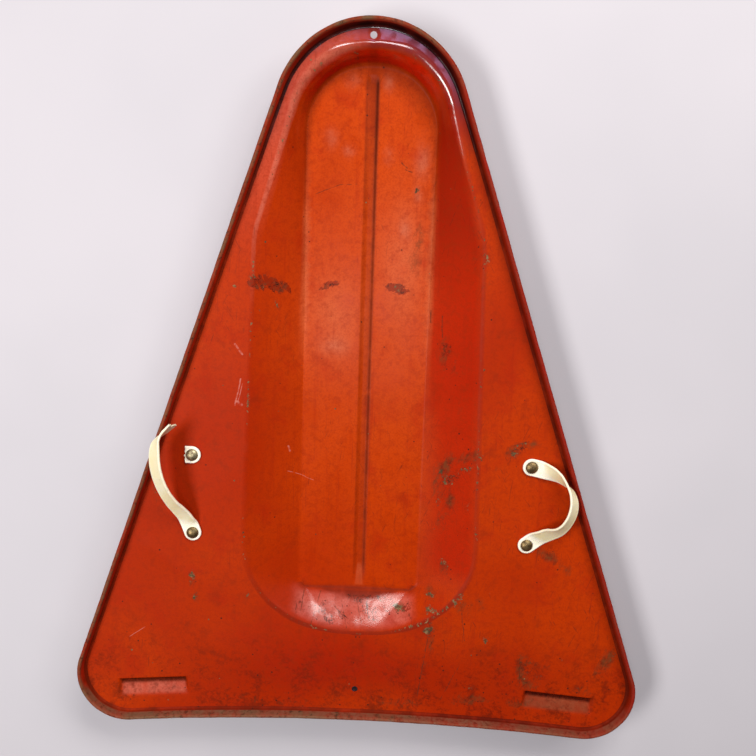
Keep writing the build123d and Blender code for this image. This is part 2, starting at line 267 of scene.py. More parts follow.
# trough: floor bend, wall and shoulder bend along matching stations of its two outlines
edge_corners = EDGE_RIGHT + [(-x, y, r) for x, y, r in reversed(EDGE_LEFT)]
floor_corners = FLOOR + [(-x, y, r) for x, y, r in reversed(FLOOR_LEFT)]
half = [(44, 34), (26, 56), (26, 8), (12, 26)]
counts = half + [(half[3][0], half[2][1]), (half[2][0], half[1][1]), (half[1][0], half[0][1]), (half[0][0], 3)]
edge_line, floor_line = rounded(edge_corners, counts), rounded(floor_corners, counts)
trough_rows = []
for e, b in zip(edge_line, floor_line):
    run = np.linalg.norm(e - b)
    d = (e - b) / run
    th = math.atan2(DEPTH, run)
    nose, tail = float(smooth(e[1], 170, 330)), float(smooth(-e[1], 200, 290))
    middle = float(1 - smooth(abs(e[0]), 12, 62))
    r_top = 30 + nose * (11.4 + 8 * float(smooth(abs(e[0]), 14, 52)) - 30) + tail * (12 - 30)
    soft = (1 - float(smooth(e[1], -60, 110))) * (1 - tail)
    r_low = 9 + nose * (7 - 9) + 13 * soft + tail * (5 + 11 * middle - 9)
    t_top, t_low = r_top * tan(th / 2), r_low * tan(th / 2)
    prof = [(-t_low - 0.8, 0.0, 0.0, 1.0)]
    prof += [(-t_low + r_low * sin(g), r_low * (1 - cos(g)), 0.0, 1 - 0.45 * g / th) for g in np.linspace(0, th, 8)]
    x1, z1 = prof[-1][:2]
    x2, z2 = run + t_top - r_top * sin(th), DEPTH - r_top * (1 - cos(th))
    prof += [(x1 + (x2 - x1) * k, z1 + (z2 - z1) * k, 0.0, 0.55 * (1 - k)) for k in np.linspace(0, 1, 10)[1:-1]]
    prof += [(run + t_top - r_top * sin(g), DEPTH - r_top * (1 - cos(g)), sin(pi * g / th) ** 0.7 if 0 < g < th else 0.0, 0.0)
             for g in np.linspace(th, 0, 10)]
    prof.append((run + t_top + 0.3, DEPTH, 0.0, 0.0))
    # grime and painted shade: the heel weight darkens the floor's bend at the rear, a V up the middle of the rear wall
    # and the floor's bend at the nose; the foot weight darkens the top of the rear wall
    trough_rows.append([vertex(*(b + s * d), Z_FLOOR + z, edge=w, floor=fl, foot=0.75 * tail * float(smooth(z, DEPTH - 2.6, DEPTH - 1.2)) * float(smooth(-z, -DEPTH - 0.01, -DEPTH + 0.1)), tail=tail * (abs(b[0]) < 82) * float(smooth(z, 1, 9)),
                               heel=max(tail * (abs(b[0]) < 79) * max(0.95 * math.exp(-((s + 1.0) / 3.4) ** 2), float(smooth(11 * (1 - (abs(b[0]) / 62) ** 1.5) - z, -1.5, 3)) * float(smooth(s, -2, 3))),
                                        nose * 0.6 * math.exp(-((s + 1.0) / 5.0) ** 2)))
                        for s, z, w, fl in prof])
trough_rows = list(map(list, zip(*trough_rows)))


def untangle(row):
    """Straighten the short stretches where a row of the bend crosses itself at a tight corner."""
    n = len(row)
    for _ in range(6):
        p = np.array([V[i][:2] for i in row])
        q = np.roll(p, -1, axis=0)
        found = None
        for gap in range(2, 30):
            c, d = np.roll(p, -gap, axis=0), np.roll(q, -gap, axis=0)
            side = [(v[:, 0] - u[:, 0]) * (w[:, 1] - u[:, 1]) - (v[:, 1] - u[:, 1]) * (w[:, 0] - u[:, 0])
                    for u, v, w in ((p, q, c), (p, q, d), (c, d, p), (c, d, q))]
            hit = np.nonzero((side[0] * side[1] < 0) & (side[2] * side[3] < 0))[0]
            if len(hit):
                found = (int(hit[0]), gap)
        if found is None:
            return
        lo, span = found[0] - 3, found[1] + 7
        a, b = np.array(V[row[lo % n]]), np.array(V[row[(lo + span) % n]])
        for k in range(1, span):
            V[row[(lo + k) % n]] = tuple(a + (b - a) * k / span)


for row in trough_rows[:9]:
    untangle(row)
strip(trough_rows, False)
trough_inner, trough_outer = trough_rows[0], trough_rows[-1]

# groove along the trough's floor, running out in a ramp at both ends
gx = 1.17 * np.array([-9.2, -7.6, -6.9, -6.2, -5.4, -4.4, -3.5, -2.9, -2.2, -1.2, 0, 1.2, 2.2, 2.9, 3.5, 4.4, 5.4, 6.2, 6.9, 7.6, 9.2])
gy = np.concatenate([[GROOVE_REAR - 0.9], np.linspace(GROOVE_REAR, GROOVE_REAR + 40, 16), np.linspace(GROOVE_REAR + 46, GROOVE_FRONT - 34, 90),
                     np.linspace(GROOVE_FRONT - 30, GROOVE_FRONT, 12), [GROOVE_FRONT + 2]])
ramp = np.clip((gy - GROOVE_REAR) / 29, 0, 1) * smooth(-gy, -GROOVE_FRONT, -GROOVE_FRONT + 12)
flare = 1 + 0.25 * smooth(-gy, -GROOVE_REAR - 40, -GROOVE_REAR)
# painted shade: the foot weights darken the groove's right slope and its edges
groove = [[vertex(x, y, Z_FLOOR - GROOVE_DEPTH * r * float(smooth(-abs(x) / fl, -8.4, -2.6)), floor=1.0,
                  foot=r * (0.66 * math.exp(-((x - 5.4) / 2.3) ** 2) + 0.30 * float(smooth(-abs(x), -9.0, -6.0)) + 0.30 * math.exp(-((x + 7.6) / 1.3) ** 2))) for x in gx]
          for y, r, fl in zip(gy, ramp, flare)]
for a, b in zip(groove, groove[1:]):
    for i in range(len(gx) - 1):
        F.append((a[i], a[i + 1], b[i + 1], b[i]))
groove_rim = [row[0] for row in groove][::-1] + groove[0][1:] + [row[-1] for row in groove][1:] + groove[-1][1:-1][::-1]

# floor between groove and bend
ring = np.array([V[i][:2] for i in trough_inner])
hole = np.array([V[i][:2] for i in groove_rim])
pts = grid((-82, -268), (82, 396), 6.5)
pts = pts[inside(pts, ring) & ~inside(pts, hole)]
pts = pts[(near(pts, ring) > 3.2) & (near(pts, hole) > 3.0)]
first = len(V)
fill([trough_inner, groove_rim], pts, lambda x, y: Z_FLOOR)
for i in range(first, len(V)):
    ATTR["floor"][i] = 1.0

# flange with pockets and rope holes
holes = []
for y in (TOW_HOLE_Y, REAR_HOLE_Y):
    holes.append([vertex(HOLE_R * cos(t), y + HOLE_R * sin(t), Z_FLANGE) for t in np.linspace(0, 2 * pi, 28, endpoint=False)])
outer, inner = np.array([V[i][:2] for i in rim_inner]), np.array([V[i][:2] for i in trough_outer])
pts = grid((-365, -432), (365, 445), 7.5)
fine = []
for side in (-1, 1):
    t = radians(-side * POCKET_TURN)
    across, along = np.array([sin(t), -cos(t)]), np.array([cos(t), sin(t)])
    ws = np.concatenate([np.linspace(-3, 7, 14), np.linspace(8.4, POCKET_WIDTH + 3, 12)])
    half_s = np.concatenate([np.linspace(0, 40, 14), np.linspace(42, POCKET_LENGTH / 2 + 4, 12)])
    ss = np.concatenate([-half_s[:0:-1], half_s])
    base = np.array([side * POCKET_X, POCKET_Y])
    fine += [base + w * across + s * along for w in ws for s in ss]
    local = (pts - base) @ np.stack([across, along], axis=1)
    pts = pts[~((local[:, 0] > -6) & (local[:, 0] < POCKET_WIDTH + 6) & (np.abs(local[:, 1]) < POCKET_LENGTH / 2 + 7))]
for y in (TOW_HOLE_Y, REAR_HOLE_Y):
    pts = pts[np.hypot(pts[:, 0], pts[:, 1] - y) > 10]
    for r in (5.2, 6.6, 8.6):
        fine += [np.array([r * cos(t), y + r * sin(t)]) for t in np.linspace(0, 2 * pi, 26, endpoint=False)]
pts = pts[(near(pts, outer) > 4.5) & (near(pts, inner) > 4.0)]
fine = np.array(fine)
fine = fine[(near(fine, outer) > 1.2) & (near(fine, inner) > 1.2)]
pts = np.concatenate([pts, fine])
pts = pts[inside(pts, outer) & ~inside(pts, inner)]
first = len(V)
fill([rim_inner, trough_outer] + holes, pts, lambda x, y: Z_FLANGE)

# uneven sheet: long waves, dents, pockets, dished rope hole
P = np.array(V)
for name in ATTR:
    ATTR[name] = np.array(ATTR[name])
flat = P[first:]
P[first:, 2] -= pocket_depth(flat[:, 0], flat[:, 1])
# grime and painted shade: a dark line on the flange along the rim's foot
ATTR["foot"][first:] = np.maximum(ATTR["foot"][first:], 0.45 * np.exp(-(near(flat, outer) / 1.8) ** 1.3))
# painted shadow: dark along the steep edge of each pocket, and a darker wash over the right pocket
pocket_shadow = np.zeros(len(P))
for side in (-1, 1):
    t = radians(-side * POCKET_TURN)
    dx, dy = P[:, 0] - side * POCKET_X, P[:, 1] - POCKET_Y
    w, along_it = dx * sin(t) - dy * cos(t), dx * cos(t) + dy * sin(t)
    ends = smooth(-np.abs(along_it), -POCKET_LENGTH / 2 - 1, -POCKET_LENGTH / 2 + 3)
    pocket_shadow = np.maximum(pocket_shadow, ends * np.maximum(smooth(w, -1.0, 1.0) * smooth(-w, -11.5, -6.5), 0.35 * (side > 0) * smooth(w, 0, 4) * smooth(-w, -26, -20)))
ATTR["pocket_shadow"] = pocket_shadow
scab = np.zeros(len(P))
for x, y, sx, sy, turn, strength in [
        (-128, 139, 13, 6, 6, 1.3), (-112, 135, 11, 6, -20, 1.3), (-99, 131, 7, 4, 0, 1.2), (-48, 136, 14, 4, 18, 1), (38, 134, 15, 6, -12, .95), (27, 136, 6, 4, 0, .9),
        (101, 62, 9, 14, 0, .62), (112, -104, 18, 9, 30, .58), (128, -88, 16, 5, 33, .6), (57, -282, 14, 4, 0, .8), (222, -352, 12, 9, 0, .62), (196, -56, 14, 7, 10, .62), (94, -300, 5, 14, 0, .65)]:
    t = radians(turn)
    u, v = (P[:, 0] - x) * cos(t) + (P[:, 1] - y) * sin(t), -(P[:, 0] - x) * sin(t) + (P[:, 1] - y) * cos(t)
    scab = np.maximum(scab, strength * np.exp(-0.6 * ((u / sx) ** 2 + (v / sy) ** 2)))
ATTR["scab"] = scab
# painted reflection: a dark purple sheen on the nose flange, stronger to the right
nose_sheen_zone = smooth(P[:, 1], 285, 385) * (0.35 + 0.65 * smooth(P[:, 0], -50, 60))
level = smooth(P[:, 2], Z_FLANGE - 4.5, Z_FLANGE - 1.0) * (1 - smooth(P[:, 2], Z_FLANGE + 1.5, Z_FLANGE + 4))
ATTR["nose_purple_sheen"] = nose_sheen_zone * level
ATTR["tail"] = ATTR["tail"] * smooth(-np.abs(P[:, 0] + 6), -86, -66) * (1 - smooth(P[:, 2], 30, 37))
# painted reflection: a pink sheen on the left front flange
ATTR["left_flange_sheen"] = level * smooth(P[:, 1], 140, 340) * smooth(-P[:, 0], -12, 45) * (1 - ATTR["bead"])
spot = np.zeros(len(P))
for x, y, sx, sy in [(-25, 378, 6, 8), (18, 378, 5, 9), (-50, 312, 7, 10), (-27, 299, 6, 6), (21, 293, 5, 8), (62, 288, 8, 20), (58, 250, 5, 10), (-40, 60, 16, 10), (44, 205, 6, 16)]:
    spot = np.maximum(spot, np.exp(-((P[:, 0] - x) / sx) ** 2 - ((P[:, 1] - y) / sy) ** 2))
ATTR["spot"] = spot
smear = np.zeros(len(P))
for x, y, sx, sy, turn, strength in [
        (242, -196, 17, 6, -28, .9), (266, -212, 12, 6, -35, .75), (228, -186, 9, 5, 0, .7), (206, -50, 20, 5, 12, .8), (186, -60, 9, 7, 0, .8), (172, -82, 12, 4, 25, .6),
        (325, -333, 7, 19, -18, .95), (316, -352, 9, 8, 0, .7), (215, -352, 5, 22, 4, .9), (236, -343, 18, 5, -12, .8), (226, -370, 16, 9, 0, .8), (296, -378, 14, 7, 0, .7),
        (157, -262, 8, 11, 20, .7), (138, -270, 12, 12, 35, .8), (96, -312, 6, 22, 4, .8), (88, -352, 5, 30, 6, .6), (122, -322, 10, 20, 10, .5),
        (152, -397, 30, 7, 4, .8), (60, -406, 34, 6, 2, .7), (-72, -413, 40, 6, 0, .65), (-140, -409, 30, 6, -3, .6), (215, -400, 22, 6, 5, .8),
        (106, -88, 8, 20, -20, .9), (114, -131, 7, 16, 0, .85), (134, -70, 18, 5, 33, .9), (96, -112, 4, 26, 0, .8), (103, -163, 5, 18, 0, .7), (110, -222, 6, 14, 20, .8),
        (94, -258, 6, 9, 0, .8), (98, 58, 7, 22, 0, .75), (110, 38, 8, 14, 20, .6), (122, -10, 6, 22, 0, .5), (131, 175, 5, 20, -8, .6), (144, 150, 5, 18, 0, .6),
        (-214, -246, 4, 12, 0, .8), (-208, -270, 5, 7, 0, .8), (-258, -128, 4, 16, 8, .6), (-190, -330, 20, 8, 10, .4), (-112, 108, 5, 9, 0, .6), (62, 196, 6, 24, 0, .7), (58, 168, 8, 20, 8, .7)]:
    t = radians(turn)
    u, v = (P[:, 0] - x) * cos(t) + (P[:, 1] - y) * sin(t), -(P[:, 0] - x) * sin(t) + (P[:, 1] - y) * cos(t)
    smear = np.maximum(smear, strength * np.exp(-0.5 * ((u / (sx + 2)) ** 2 + (v / (sy + 2)) ** 2)))
ATTR["smear"] = smear
# painted light: the groove's rear run-out lighter, as where it is lit
behind = GROOVE_REAR + 30 - P[:, 1]
spread = 2.4 + 0.085 * np.clip(behind, 0, 34)
ATTR["runout_light"] = smooth(behind, 0, 8) * smooth(-behind, -34, -30) * smooth(-np.abs(P[:, 0]), -spread - 1.0, -spread + 0.8) * (P[:, 2] < 6)
# painted light: the pockets' ramps coloured as lit, pink in the left pocket and browner in the right
ramp_light = np.zeros(len(P))
for side in (-1, 1):
    t = radians(-side * POCKET_TURN)
    dx, dy = P[:, 0] - side * POCKET_X, P[:, 1] - POCKET_Y
    w, along_it = dx * sin(t) - dy * cos(t), dx * cos(t) + dy * sin(t)
    ramp_light = np.maximum(ramp_light, smooth(w, 5, 9) * smooth(-w, -25, -20) * smooth(-np.abs(along_it), -POCKET_LENGTH / 2, -POCKET_LENGTH / 2 + 5))
ATTR["ramp_light"] = ramp_light
# painted highlight: a lighter pink line along the left front shoulder of the trough
ATTR["left_lip_highlight"] = ATTR["edge"] * smooth(P[:, 1], 90, 230) * smooth(-P[:, 0], 0, 50)
# painted highlight: a light line along the floor's bends into the side walls
ATTR["fold"] = smooth(np.abs(P[:, 0]), 73, 77) * smooth(-np.abs(P[:, 0]), -83, -79) * smooth(P[:, 1], 20, 110) * smooth(-P[:, 1], -290, -220) * (P[:, 2] < 9)
# painted reflection: lighter salmon patches on the floor either side of the groove
ATTR["floor_sheen_patches"] = (P[:, 2] < 8) * np.maximum(np.exp(-((P[:, 0] + 40) / 30) ** 2 - ((P[:, 1] - 95) / 48) ** 2), np.exp(-((P[:, 0] - 44) / 26) ** 2 - ((P[:, 1] - 165) / 75) ** 2))
ATTR["gloss"] = smooth(P[:, 1], 288, 328) * (1 - smooth(P[:, 2], Z_FLANGE + 0.6, Z_FLANGE + 1.6)) * smooth(P[:, 2], 14, 24) * (1 - ATTR["bead"])
ATTR["gloss"] *= 1 - 0.9 * smooth(ATTR["foot"], 0.35, 0.7) * smooth(P[:, 0], 30, 60)
ATTR["gloss"] = np.maximum(ATTR["gloss"], 0.42 * ATTR["tail"] * (1 - smooth(P[:, 2], 26, 36)) * (1 - ATTR["heel"]))
wall_band = smooth(P[:, 2], 3.7, 6.5) * (1 - smooth(P[:, 2], 36.6, 38.8))
ATTR["matt"] = smooth(P[:, 0], 74, 86 + 26 * smooth(-P[:, 1], -60, 110)) * wall_band * smooth(P[:, 1], -250, -215)
# painted shade: deeper red on the right wall of the trough, on the front wall and in the middle of the rear flange
shade_deep_red = np.maximum(ATTR["matt"], smooth(P[:, 1], 345, 385) * smooth(P[:, 2], 5, 10) * (1 - smooth(P[:, 2], 31, 36)))
# painted bounce light: the front wall of the trough a brighter, purer red
ATTR["front"] = smooth(P[:, 1], 345, 385) * smooth(P[:, 2], 5, 10) * (1 - smooth(P[:, 2], 31, 36))
# painted shade: darker upper part of the right trough wall, middle of the rear flange and a patch on the floor's left
# front
ATTR["painted_shade"] = np.maximum(1.1 * ATTR["matt"] * smooth(P[:, 1], 110, 230), np.exp(-(P[:, 0] / 190) ** 2 - ((P[:, 1] + 366) / 42) ** 2) * smooth(P[:, 2], 37, 39))
ATTR["painted_shade"] = np.maximum(ATTR["painted_shade"], 0.36 * np.exp(-((P[:, 0] + 50) / 26) ** 2 - ((P[:, 1] - 275) / 85) ** 2) * (P[:, 2] < 6))
ATTR["shade_deep_red"] = np.maximum(shade_deep_red, 0.75 * np.exp(-(P[:, 0] / 130) ** 2 - ((P[:, 1] + 355) / 45) ** 2) * smooth(P[:, 2], 37, 39))
waves = np.random.default_rng(21)
swell = np.zeros(len(P))
for length in (310, 250, 210, 180, 150, 128, 110, 95, 84, 74):
    g, ph, amp = waves.uniform(0, 2 * pi), waves.uniform(0, 2 * pi), waves.normal(0, 1)
    swell += amp * (length / 310) ** 1.2 * np.sin(2 * pi * (P[:, 0] * cos(g) + P[:, 1] * sin(g)) / length + ph)
calm = np.ones(len(P))
for sx in (-1, 1):
    for y in (RIVET_FRONT_Y, RIVET_REAR_Y):
        calm *= smooth(np.hypot(P[:, 0] - sx * RIVET_X, P[:, 1] - y), 14, 60)
P[:, 2] += 0.20 * swell * calm * (1 - 0.5 * ATTR["bead"])
# dents: x, y, depth, half width, half length, turn
DENTS = [
    (-70, -290, 0.7, 6, 12, 10), (-48, -284, -0.3, 8, 10, 0), (-20, -296, 0.8, 4, 8, -35), (8, -286, -0.3, 10, 8, 0),
    (-3, -303, -0.3, 5, 7, 20), (34, -288, 0.3, 12, 8, 0), (60, -280, 0.35, 8, 10, 30), (86, -290, 0.3, 9, 9, 0),
    (-30, -277, 0.3, 7, 6, 0), (131, 100, 0.5, 16, 26, 0), (-120, 20, 0.4, 18, 40, 0), (37, 60, 0.35, 22, 30, 0),
    (-38, 120, -0.35, 20, 34, 0), (-190, -300, 0.5, 24, 30, 30), (228, -352, 0.6, 14, 11, 0), (60, 330, 0.3, 12, 18, 20),
]
for x, y, depth, sx, sy, turn in DENTS:
    t = radians(turn)
    u, w = (P[:, 0] - x) * cos(t) + (P[:, 1] - y) * sin(t), -(P[:, 0] - x) * sin(t) + (P[:, 1] - y) * cos(t)
    P[:, 2] -= depth * np.exp(-(u / sx) ** 2 - (w / sy) ** 2) * calm
for (x0, y0), (x1, y1), height, wide in [((-284, -188), (-194, -258), 0.8, 9.0)]:      # a soft fold
    d = np.array([x1 - x0, y1 - y0]) / math.hypot(x1 - x0, y1 - y0)
    u, w = (P[:, 0] - x0) * d[0] + (P[:, 1] - y0) * d[1], -(P[:, 0] - x0) * d[1] + (P[:, 1] - y0) * d[0]
    P[:, 2] += height * np.exp(-(w / wide) ** 2) * smooth(u, 0, 25) * smooth(-u, -114, -85) * calm
P[:, 2] -= 0.55 * np.exp(-(np.maximum(np.hypot(P[:, 0], P[:, 1] - TOW_HOLE_Y) - HOLE_R, 0) / 2.2) ** 2) * (1 - ATTR["bead"]) * (P[:, 1] > 400)

P[:, 2] = np.maximum(P[:, 2], SHEET + 0.04)

# wear: places where the paint has chipped (x, y, half width, half length, turn, strength)
CHIPS = [
    (-49, 134, 10, 3, 20, .5), (40, 133, 9, 4, -15, .6), (57, 253, 4, 7, 0, .8), (64, 203, 6, 8, 0, .55), (61, 164, 5, 17, 0, .5),
    (-110, 111, 4, 5, 0, .9), (-126, 104, 3, 3, 0, .7), (-138, 145, 4, 4, 0, .8), (-158, 133, 6, 2, 0, .9),
    (-214, -242, 4, 9, 0, .9), (-210, -268, 4, 6, 0, .9), (-259, -126, 3, 12, 0, .6), (93, -301, 6, 13, 0, .8),
    (126, -262, 8, 7, 30, .7), (132, -253, 5, 8, 0, .7), (168, -313, 6, 6, 0, .75), (152, -378, 8, 5, 0, .6), (182, -395, 13, 4, 0, .6),
    (240, -361, 20, 9, 0, .45), (331, -327, 9, 12, -20, .65), (266, -335, 6, 6, 0, .55), (290, -375, 7, 6, 0, .5),
    (189, -63, 9, 6, 0, .75), (196, -49, 12, 3, 15, .8), (99, -97, 5, 5, 0, .8), (110, -107, 7, 6, 30, .8), (129, -88, 16, 4, 33, .75),
    (148, -69, 8, 3, 30, .7), (99, -137, 4, 8, 0, .8), (134, -135, 5, 5, 0, .7), (110, -219, 5, 9, 20, .75), (101, 65, 10, 13, 0, .45),
    (114, 46, 6, 4, 0, .6), (130, 205, 4, 6, 0, .7), (142, 172, 4, 9, 0, .7), (145, 141, 4, 7, 0, .6), (144, 41, 5, 3, 0, .7),
    (53, -281, 12, 5, 0, .85), (95, -276, 8, 4, 0, .9), (94, -262, 6, 3, 0, .8), (29, -276, 16, 4, 0, .6),
    (-8, -284, 5, 3, 0, .6), (-20, 402, 4, 4, 0, .7), (-96, 385, 5, 4, 0, .7), (-142, -262, 5, 8, 0, .6),
]
chip = np.zeros(len(P))
for x, y, sx, sy, turn, strength in CHIPS:
    t = radians(turn)
    u, w = (P[:, 0] - x) * cos(t) + (P[:, 1] - y) * sin(t), -(P[:, 0] - x) * sin(t) + (P[:, 1] - y) * cos(t)
    chip = np.maximum(chip, strength * np.exp(-0.7 * ((u / (sx + 1.5)) ** 2 + (w / (sy + 1.5)) ** 2)))
ATTR["chip"] = chip

# underside: the same sheet, one thickness below, and its cut edges
N = np.zeros_like(P)
quads = np.array([f for f in F if len(f) == 4])
tris = np.array([f for f in F if len(f) == 3])
for faces in (quads, tris):
    a, b, c, d = P[faces[:, 0]], P[faces[:, 1]], P[faces[:, 2]], P[faces[:, -1]]
    n = np.cross(c - a, d - b) if faces.shape[1] == 4 else np.cross(b - a, c - a)
    for k in range(faces.shape[1]):
        np.add.at(N, faces[:, k], n)
N /= np.linalg.norm(N, axis=1)[:, None]
used = {}
for f in F:
    for a, b in zip(f, f[1:] + f[:1]):
        used[(a, b)] = True
open_edges = [(a, b) for a, b in used if (b, a) not in used]
count = len(P)
all_v = np.concatenate([P, P - SHEET * N])
all_f = list(F) + [tuple(i + count for i in f[::-1]) for f in F] + [(b, a, a + count, b + count) for a, b in open_edges]
print("pan: vertices", len(all_v), "triangles", sum(len(f) - 2 for f in all_f), "open edges", len(open_edges),
      "lowest normal", round(float(N[:, 2].min()), 2))


def mesh_object(name, verts, faces, attrs=None, sharp=(), smooth_faces=True):
    mesh = bpy.data.meshes.new(name)
    mesh.from_pydata((np.asarray(verts) * 0.001).tolist(), [], faces)
    mesh.update()
    mesh.polygons.foreach_set("use_smooth", [smooth_faces] * len(mesh.polygons))
    for key, values in (attrs or {}).items():
        layer = mesh.attributes.new(key, "FLOAT", "POINT")
        layer.data.foreach_set("value", np.asarray(values, np.float32))
    if len(sharp):
        wanted = {tuple(sorted(e)) for e in sharp}
        layer = mesh.attributes.new("sharp_edge", "BOOLEAN", "EDGE")
        layer.data.foreach_set("value", [tuple(sorted(e.vertices)) in wanted for e in mesh.edges])
    obj = bpy.data.objects.new(name, mesh)
    bpy.context.scene.collection.objects.link(obj)
    return obj


both = {k: np.concatenate([v, v]) for k, v in ATTR.items()}
both["under"] = np.concatenate([np.zeros(count), np.ones(count)])
pan = mesh_object("pan_sheet", all_v, all_f, both,
                  sharp=[e for e in open_edges] + [(a + count, b + count) for a, b in open_edges])

# ---------------------------------------------------------------------- straps
# middle of each strap: x, y, height over the flange, roll about the run (0 and 180 lie flat)
RIGHT = [
    (211.5, -78.0, 1.5, 0), (216, -78.8, 1.5, 0), (220.3, -79.7, 1.7, 1), (224.6, -80.7, 2.7, 6), (229.1, -81.8, 4.5, 15.5),
    (234.5, -83.4, 6.6, 27.3), (239.7, -85.5, 8.2, 40.2), (244.7, -88.0, 10.4, 54.7), (248.9, -91.2, 13, 69), (252.8, -94.8, 15.8, 81.5),
    (256.4, -98.7, 18.5, 95), (259.2, -103.4, 21, 108.1), (260.8, -108.8, 23.1, 117.1), (261.7, -114.6, 24.7, 123.3), (261.6, -120.6, 25.7, 128.1),
    (260.8, -126.6, 26, 131.2), (259.3, -132.5, 25.9, 132.7), (257.1, -138.2, 25.3, 134.3), (254.5, -143.6, 24.2, 135.9), (251.3, -148.5, 22.6, 138.5),
    (247.5, -152.8, 20.4, 142.5), (243.5, -156.0, 17.3, 147.6), (239.3, -158.7, 13.8, 154.3), (234.9, -161.6, 10.8, 159.7), (230.6, -164.8, 8.2, 162),
    (226.6, -167.8, 5.3, 165), (222.7, -170.8, 2.9, 172.5), (218.9, -173.8, 1.7, 179), (215.3, -176.6, 1.5, 180), (211.5, -179.6, 1.5, 180),
]
LEFT = [
    (-211.5, -179.6, 1.5, 180), (-213.0, -175.3, 1.5, 180), (-214.5, -171.1, 1.7, 179), (-216.2, -166.8, 2.9, 172.8), (-218.0, -162.2, 5.0, 166),
    (-219.9, -157.3, 7.4, 161.5), (-222.4, -152.3, 10.1, 159.2), (-225, -147.6, 13.1, 156.9), (-227.7, -142.8, 16.1, 154.2), (-230.5, -138.2, 19.1, 151.2),
    (-233.1, -133.3, 21.8, 148.7), (-235.6, -128.2, 24.2, 147), (-238, -122.9, 26.3, 145.6), (-240.1, -117.4, 28.2, 144.5), (-242.1, -111.8, 29.9, 143.7),
    (-243.8, -106, 31.2, 143), (-245.4, -100.1, 32.4, 142.5), (-246.5, -94.1, 33.3, 142.2), (-247.5, -88, 34.1, 141.5), (-248.1, -81.9, 34.7, 140.8),
    (-248.4, -75.7, 35.1, 139.6), (-248.3, -69.5, 35.3, 137.6), (-247.9, -63.3, 35.1, 133.7), (-246.8, -57.3, 34.5, 124.6), (-244.7, -51.9, 33.4, 107.8),
    (-241.2, -47.4, 32.2, 91.5), (-237.1, -43.0, 31.0, 82), (-232.8, -38.9, 30.1, 78.5), (-227.7, -34.1, 29.3, 76),
]
COLUMNS = np.sin(np.linspace(-pi / 2, pi / 2, 27))


def band_half(dist):
    """Half thickness of the strap at a distance from its edge: a rounded, raised border and a thinner middle."""
    e = np.clip(dist, 0, 1.5)
    return np.sqrt(np.maximum(1.5 ** 2 - (1.5 - e) ** 2, 0)) - 0.30 * smooth(dist, 2.1, 3.6)


def along(table, spacing):
    """Even stations on a smooth line through the table's rows."""
    t = np.array(table, float)
    ext = np.vstack([2 * t[0] - t[1], t, 2 * t[-1] - t[-2]])
    out = []
    for i in range(1, len(ext) - 2):
        p0, p1, p2, p3 = ext[i - 1:i + 3]
        for u in np.linspace(0, 1, 12, endpoint=False):
            out.append(0.5 * (2 * p1 + (p2 - p0) * u + (2 * p0 - 5 * p1 + 4 * p2 - p3) * u * u + (3 * p1 - p0 - 3 * p2 + p3) * u ** 3))
    out = np.array(out + [t[-1]])
    s = np.concatenate([[0], np.cumsum(np.linalg.norm(np.diff(out[:, :3], axis=0), axis=1))])
    at = np.linspace(0, s[-1], int(s[-1] / spacing) + 1)
    return np.stack([np.interp(at, s, out[:, k]) for k in range(4)], axis=1)


def strap(table, base, round_end):
    """Closed mesh of a strap; its first end is a round tab, the other one too or else torn."""
    st = along(table, 1.5)
    pts = st[:, :3] + np.array([0, 0, base])
    run = np.gradient(pts, axis=0)
    for i in np.flatnonzero(st[:, 2] < 1.52):
        run[i, 2] = 0
    run /= np.linalg.norm(run, axis=1)[:, None]
    left = np.cross([0, 0, 1], run)
    left /= np.linalg.norm(left, axis=1)[:, None]
    up = np.cross(run, left)
    r = np.radians(st[:, 3])[:, None]
    wide = left * np.cos(r) + up * np.sin(r)
    thick = np.cross(run, wide)
    R = STRAP_W / 2
    rows = []                                           # station, shift along the run, half width
    caps = [R * sin(g) for g in np.linspace(radians(87), radians(8), 12)]
    rows += [(0, -u, math.sqrt(R * R - u * u)) for u in caps]
    rows += [(i, 0.0, R) for i in range(len(pts))]
    if round_end:
        rows += [(len(pts) - 1, u, math.sqrt(R * R - u * u)) for u in reversed(caps)]
    tear = np.random.default_rng(8)
    jag = np.interp(COLUMNS, np.linspace(-1, 1, 19), tear.uniform(-0.9, 0.9, 19)) - 2.4 * np.exp(-((COLUMNS - 0.12) / 0.22) ** 2) + 0.6
    verts, faces, border, torn = [], [], [], []
    m = len(COLUMNS)
    for k, (i, u, w) in enumerate(rows):
        v = w * COLUMNS
        dist = R - np.hypot(u, v) if u else R - np.abs(v)
        t = band_half(np.maximum(dist, 0))
        shift = np.full(m, u)
        pull = 0.0
        if not round_end:
            pull = float(smooth(k, len(rows) - 9, len(rows) - 1))
            shift = shift + jag * pull
        p = pts[i] + v[:, None] * wide[i] + shift[:, None] * run[i]
        fray = 1 - 0.25 * pull * np.abs(np.sin(COLUMNS * 21))
        top, low = p + (t * fray)[:, None] * thick[i], p - (t * fray)[:, None] * thick[i]
        ring = list(top) + list(low[m - 2:0:-1])
        verts += ring
        b = 1 - smooth(dist, 1.6, 3.0)
        border += list(b) + list(b[m - 2:0:-1])
        torn += [pull] * len(ring)
    size = 2 * m - 2
    for k in range(len(rows) - 1):
        for j in range(size):
            a, b = k * size + j, k * size + (j + 1) % size
            faces.append((a, b, b + size, a + size))
    for start, flip in ((0, True), ((len(rows) - 1) * size, False)):
        for j in range(m - 1):
            a, b = start + j, start + j + 1
            c, d = start + (size - (j + 1)) % size, start + (size - j) % size
            q = [x for n, x in enumerate((a, b, c, d)) if x not in (a, b, c, d)[:n]]
            if len(q) > 2:
                faces.append(tuple(q[::-1] if not flip else q))
    return np.array(verts), faces, {"border": border, "torn": torn}


v, f, marks = strap(RIGHT, Z_FLANGE, True)
right_strap = mesh_object("right_strap", v, f, marks)
v, f, marks = strap(LEFT, Z_FLANGE + SWIVEL_GAP, False)
left_strap = mesh_object("left_torn_strap", v, f, marks)


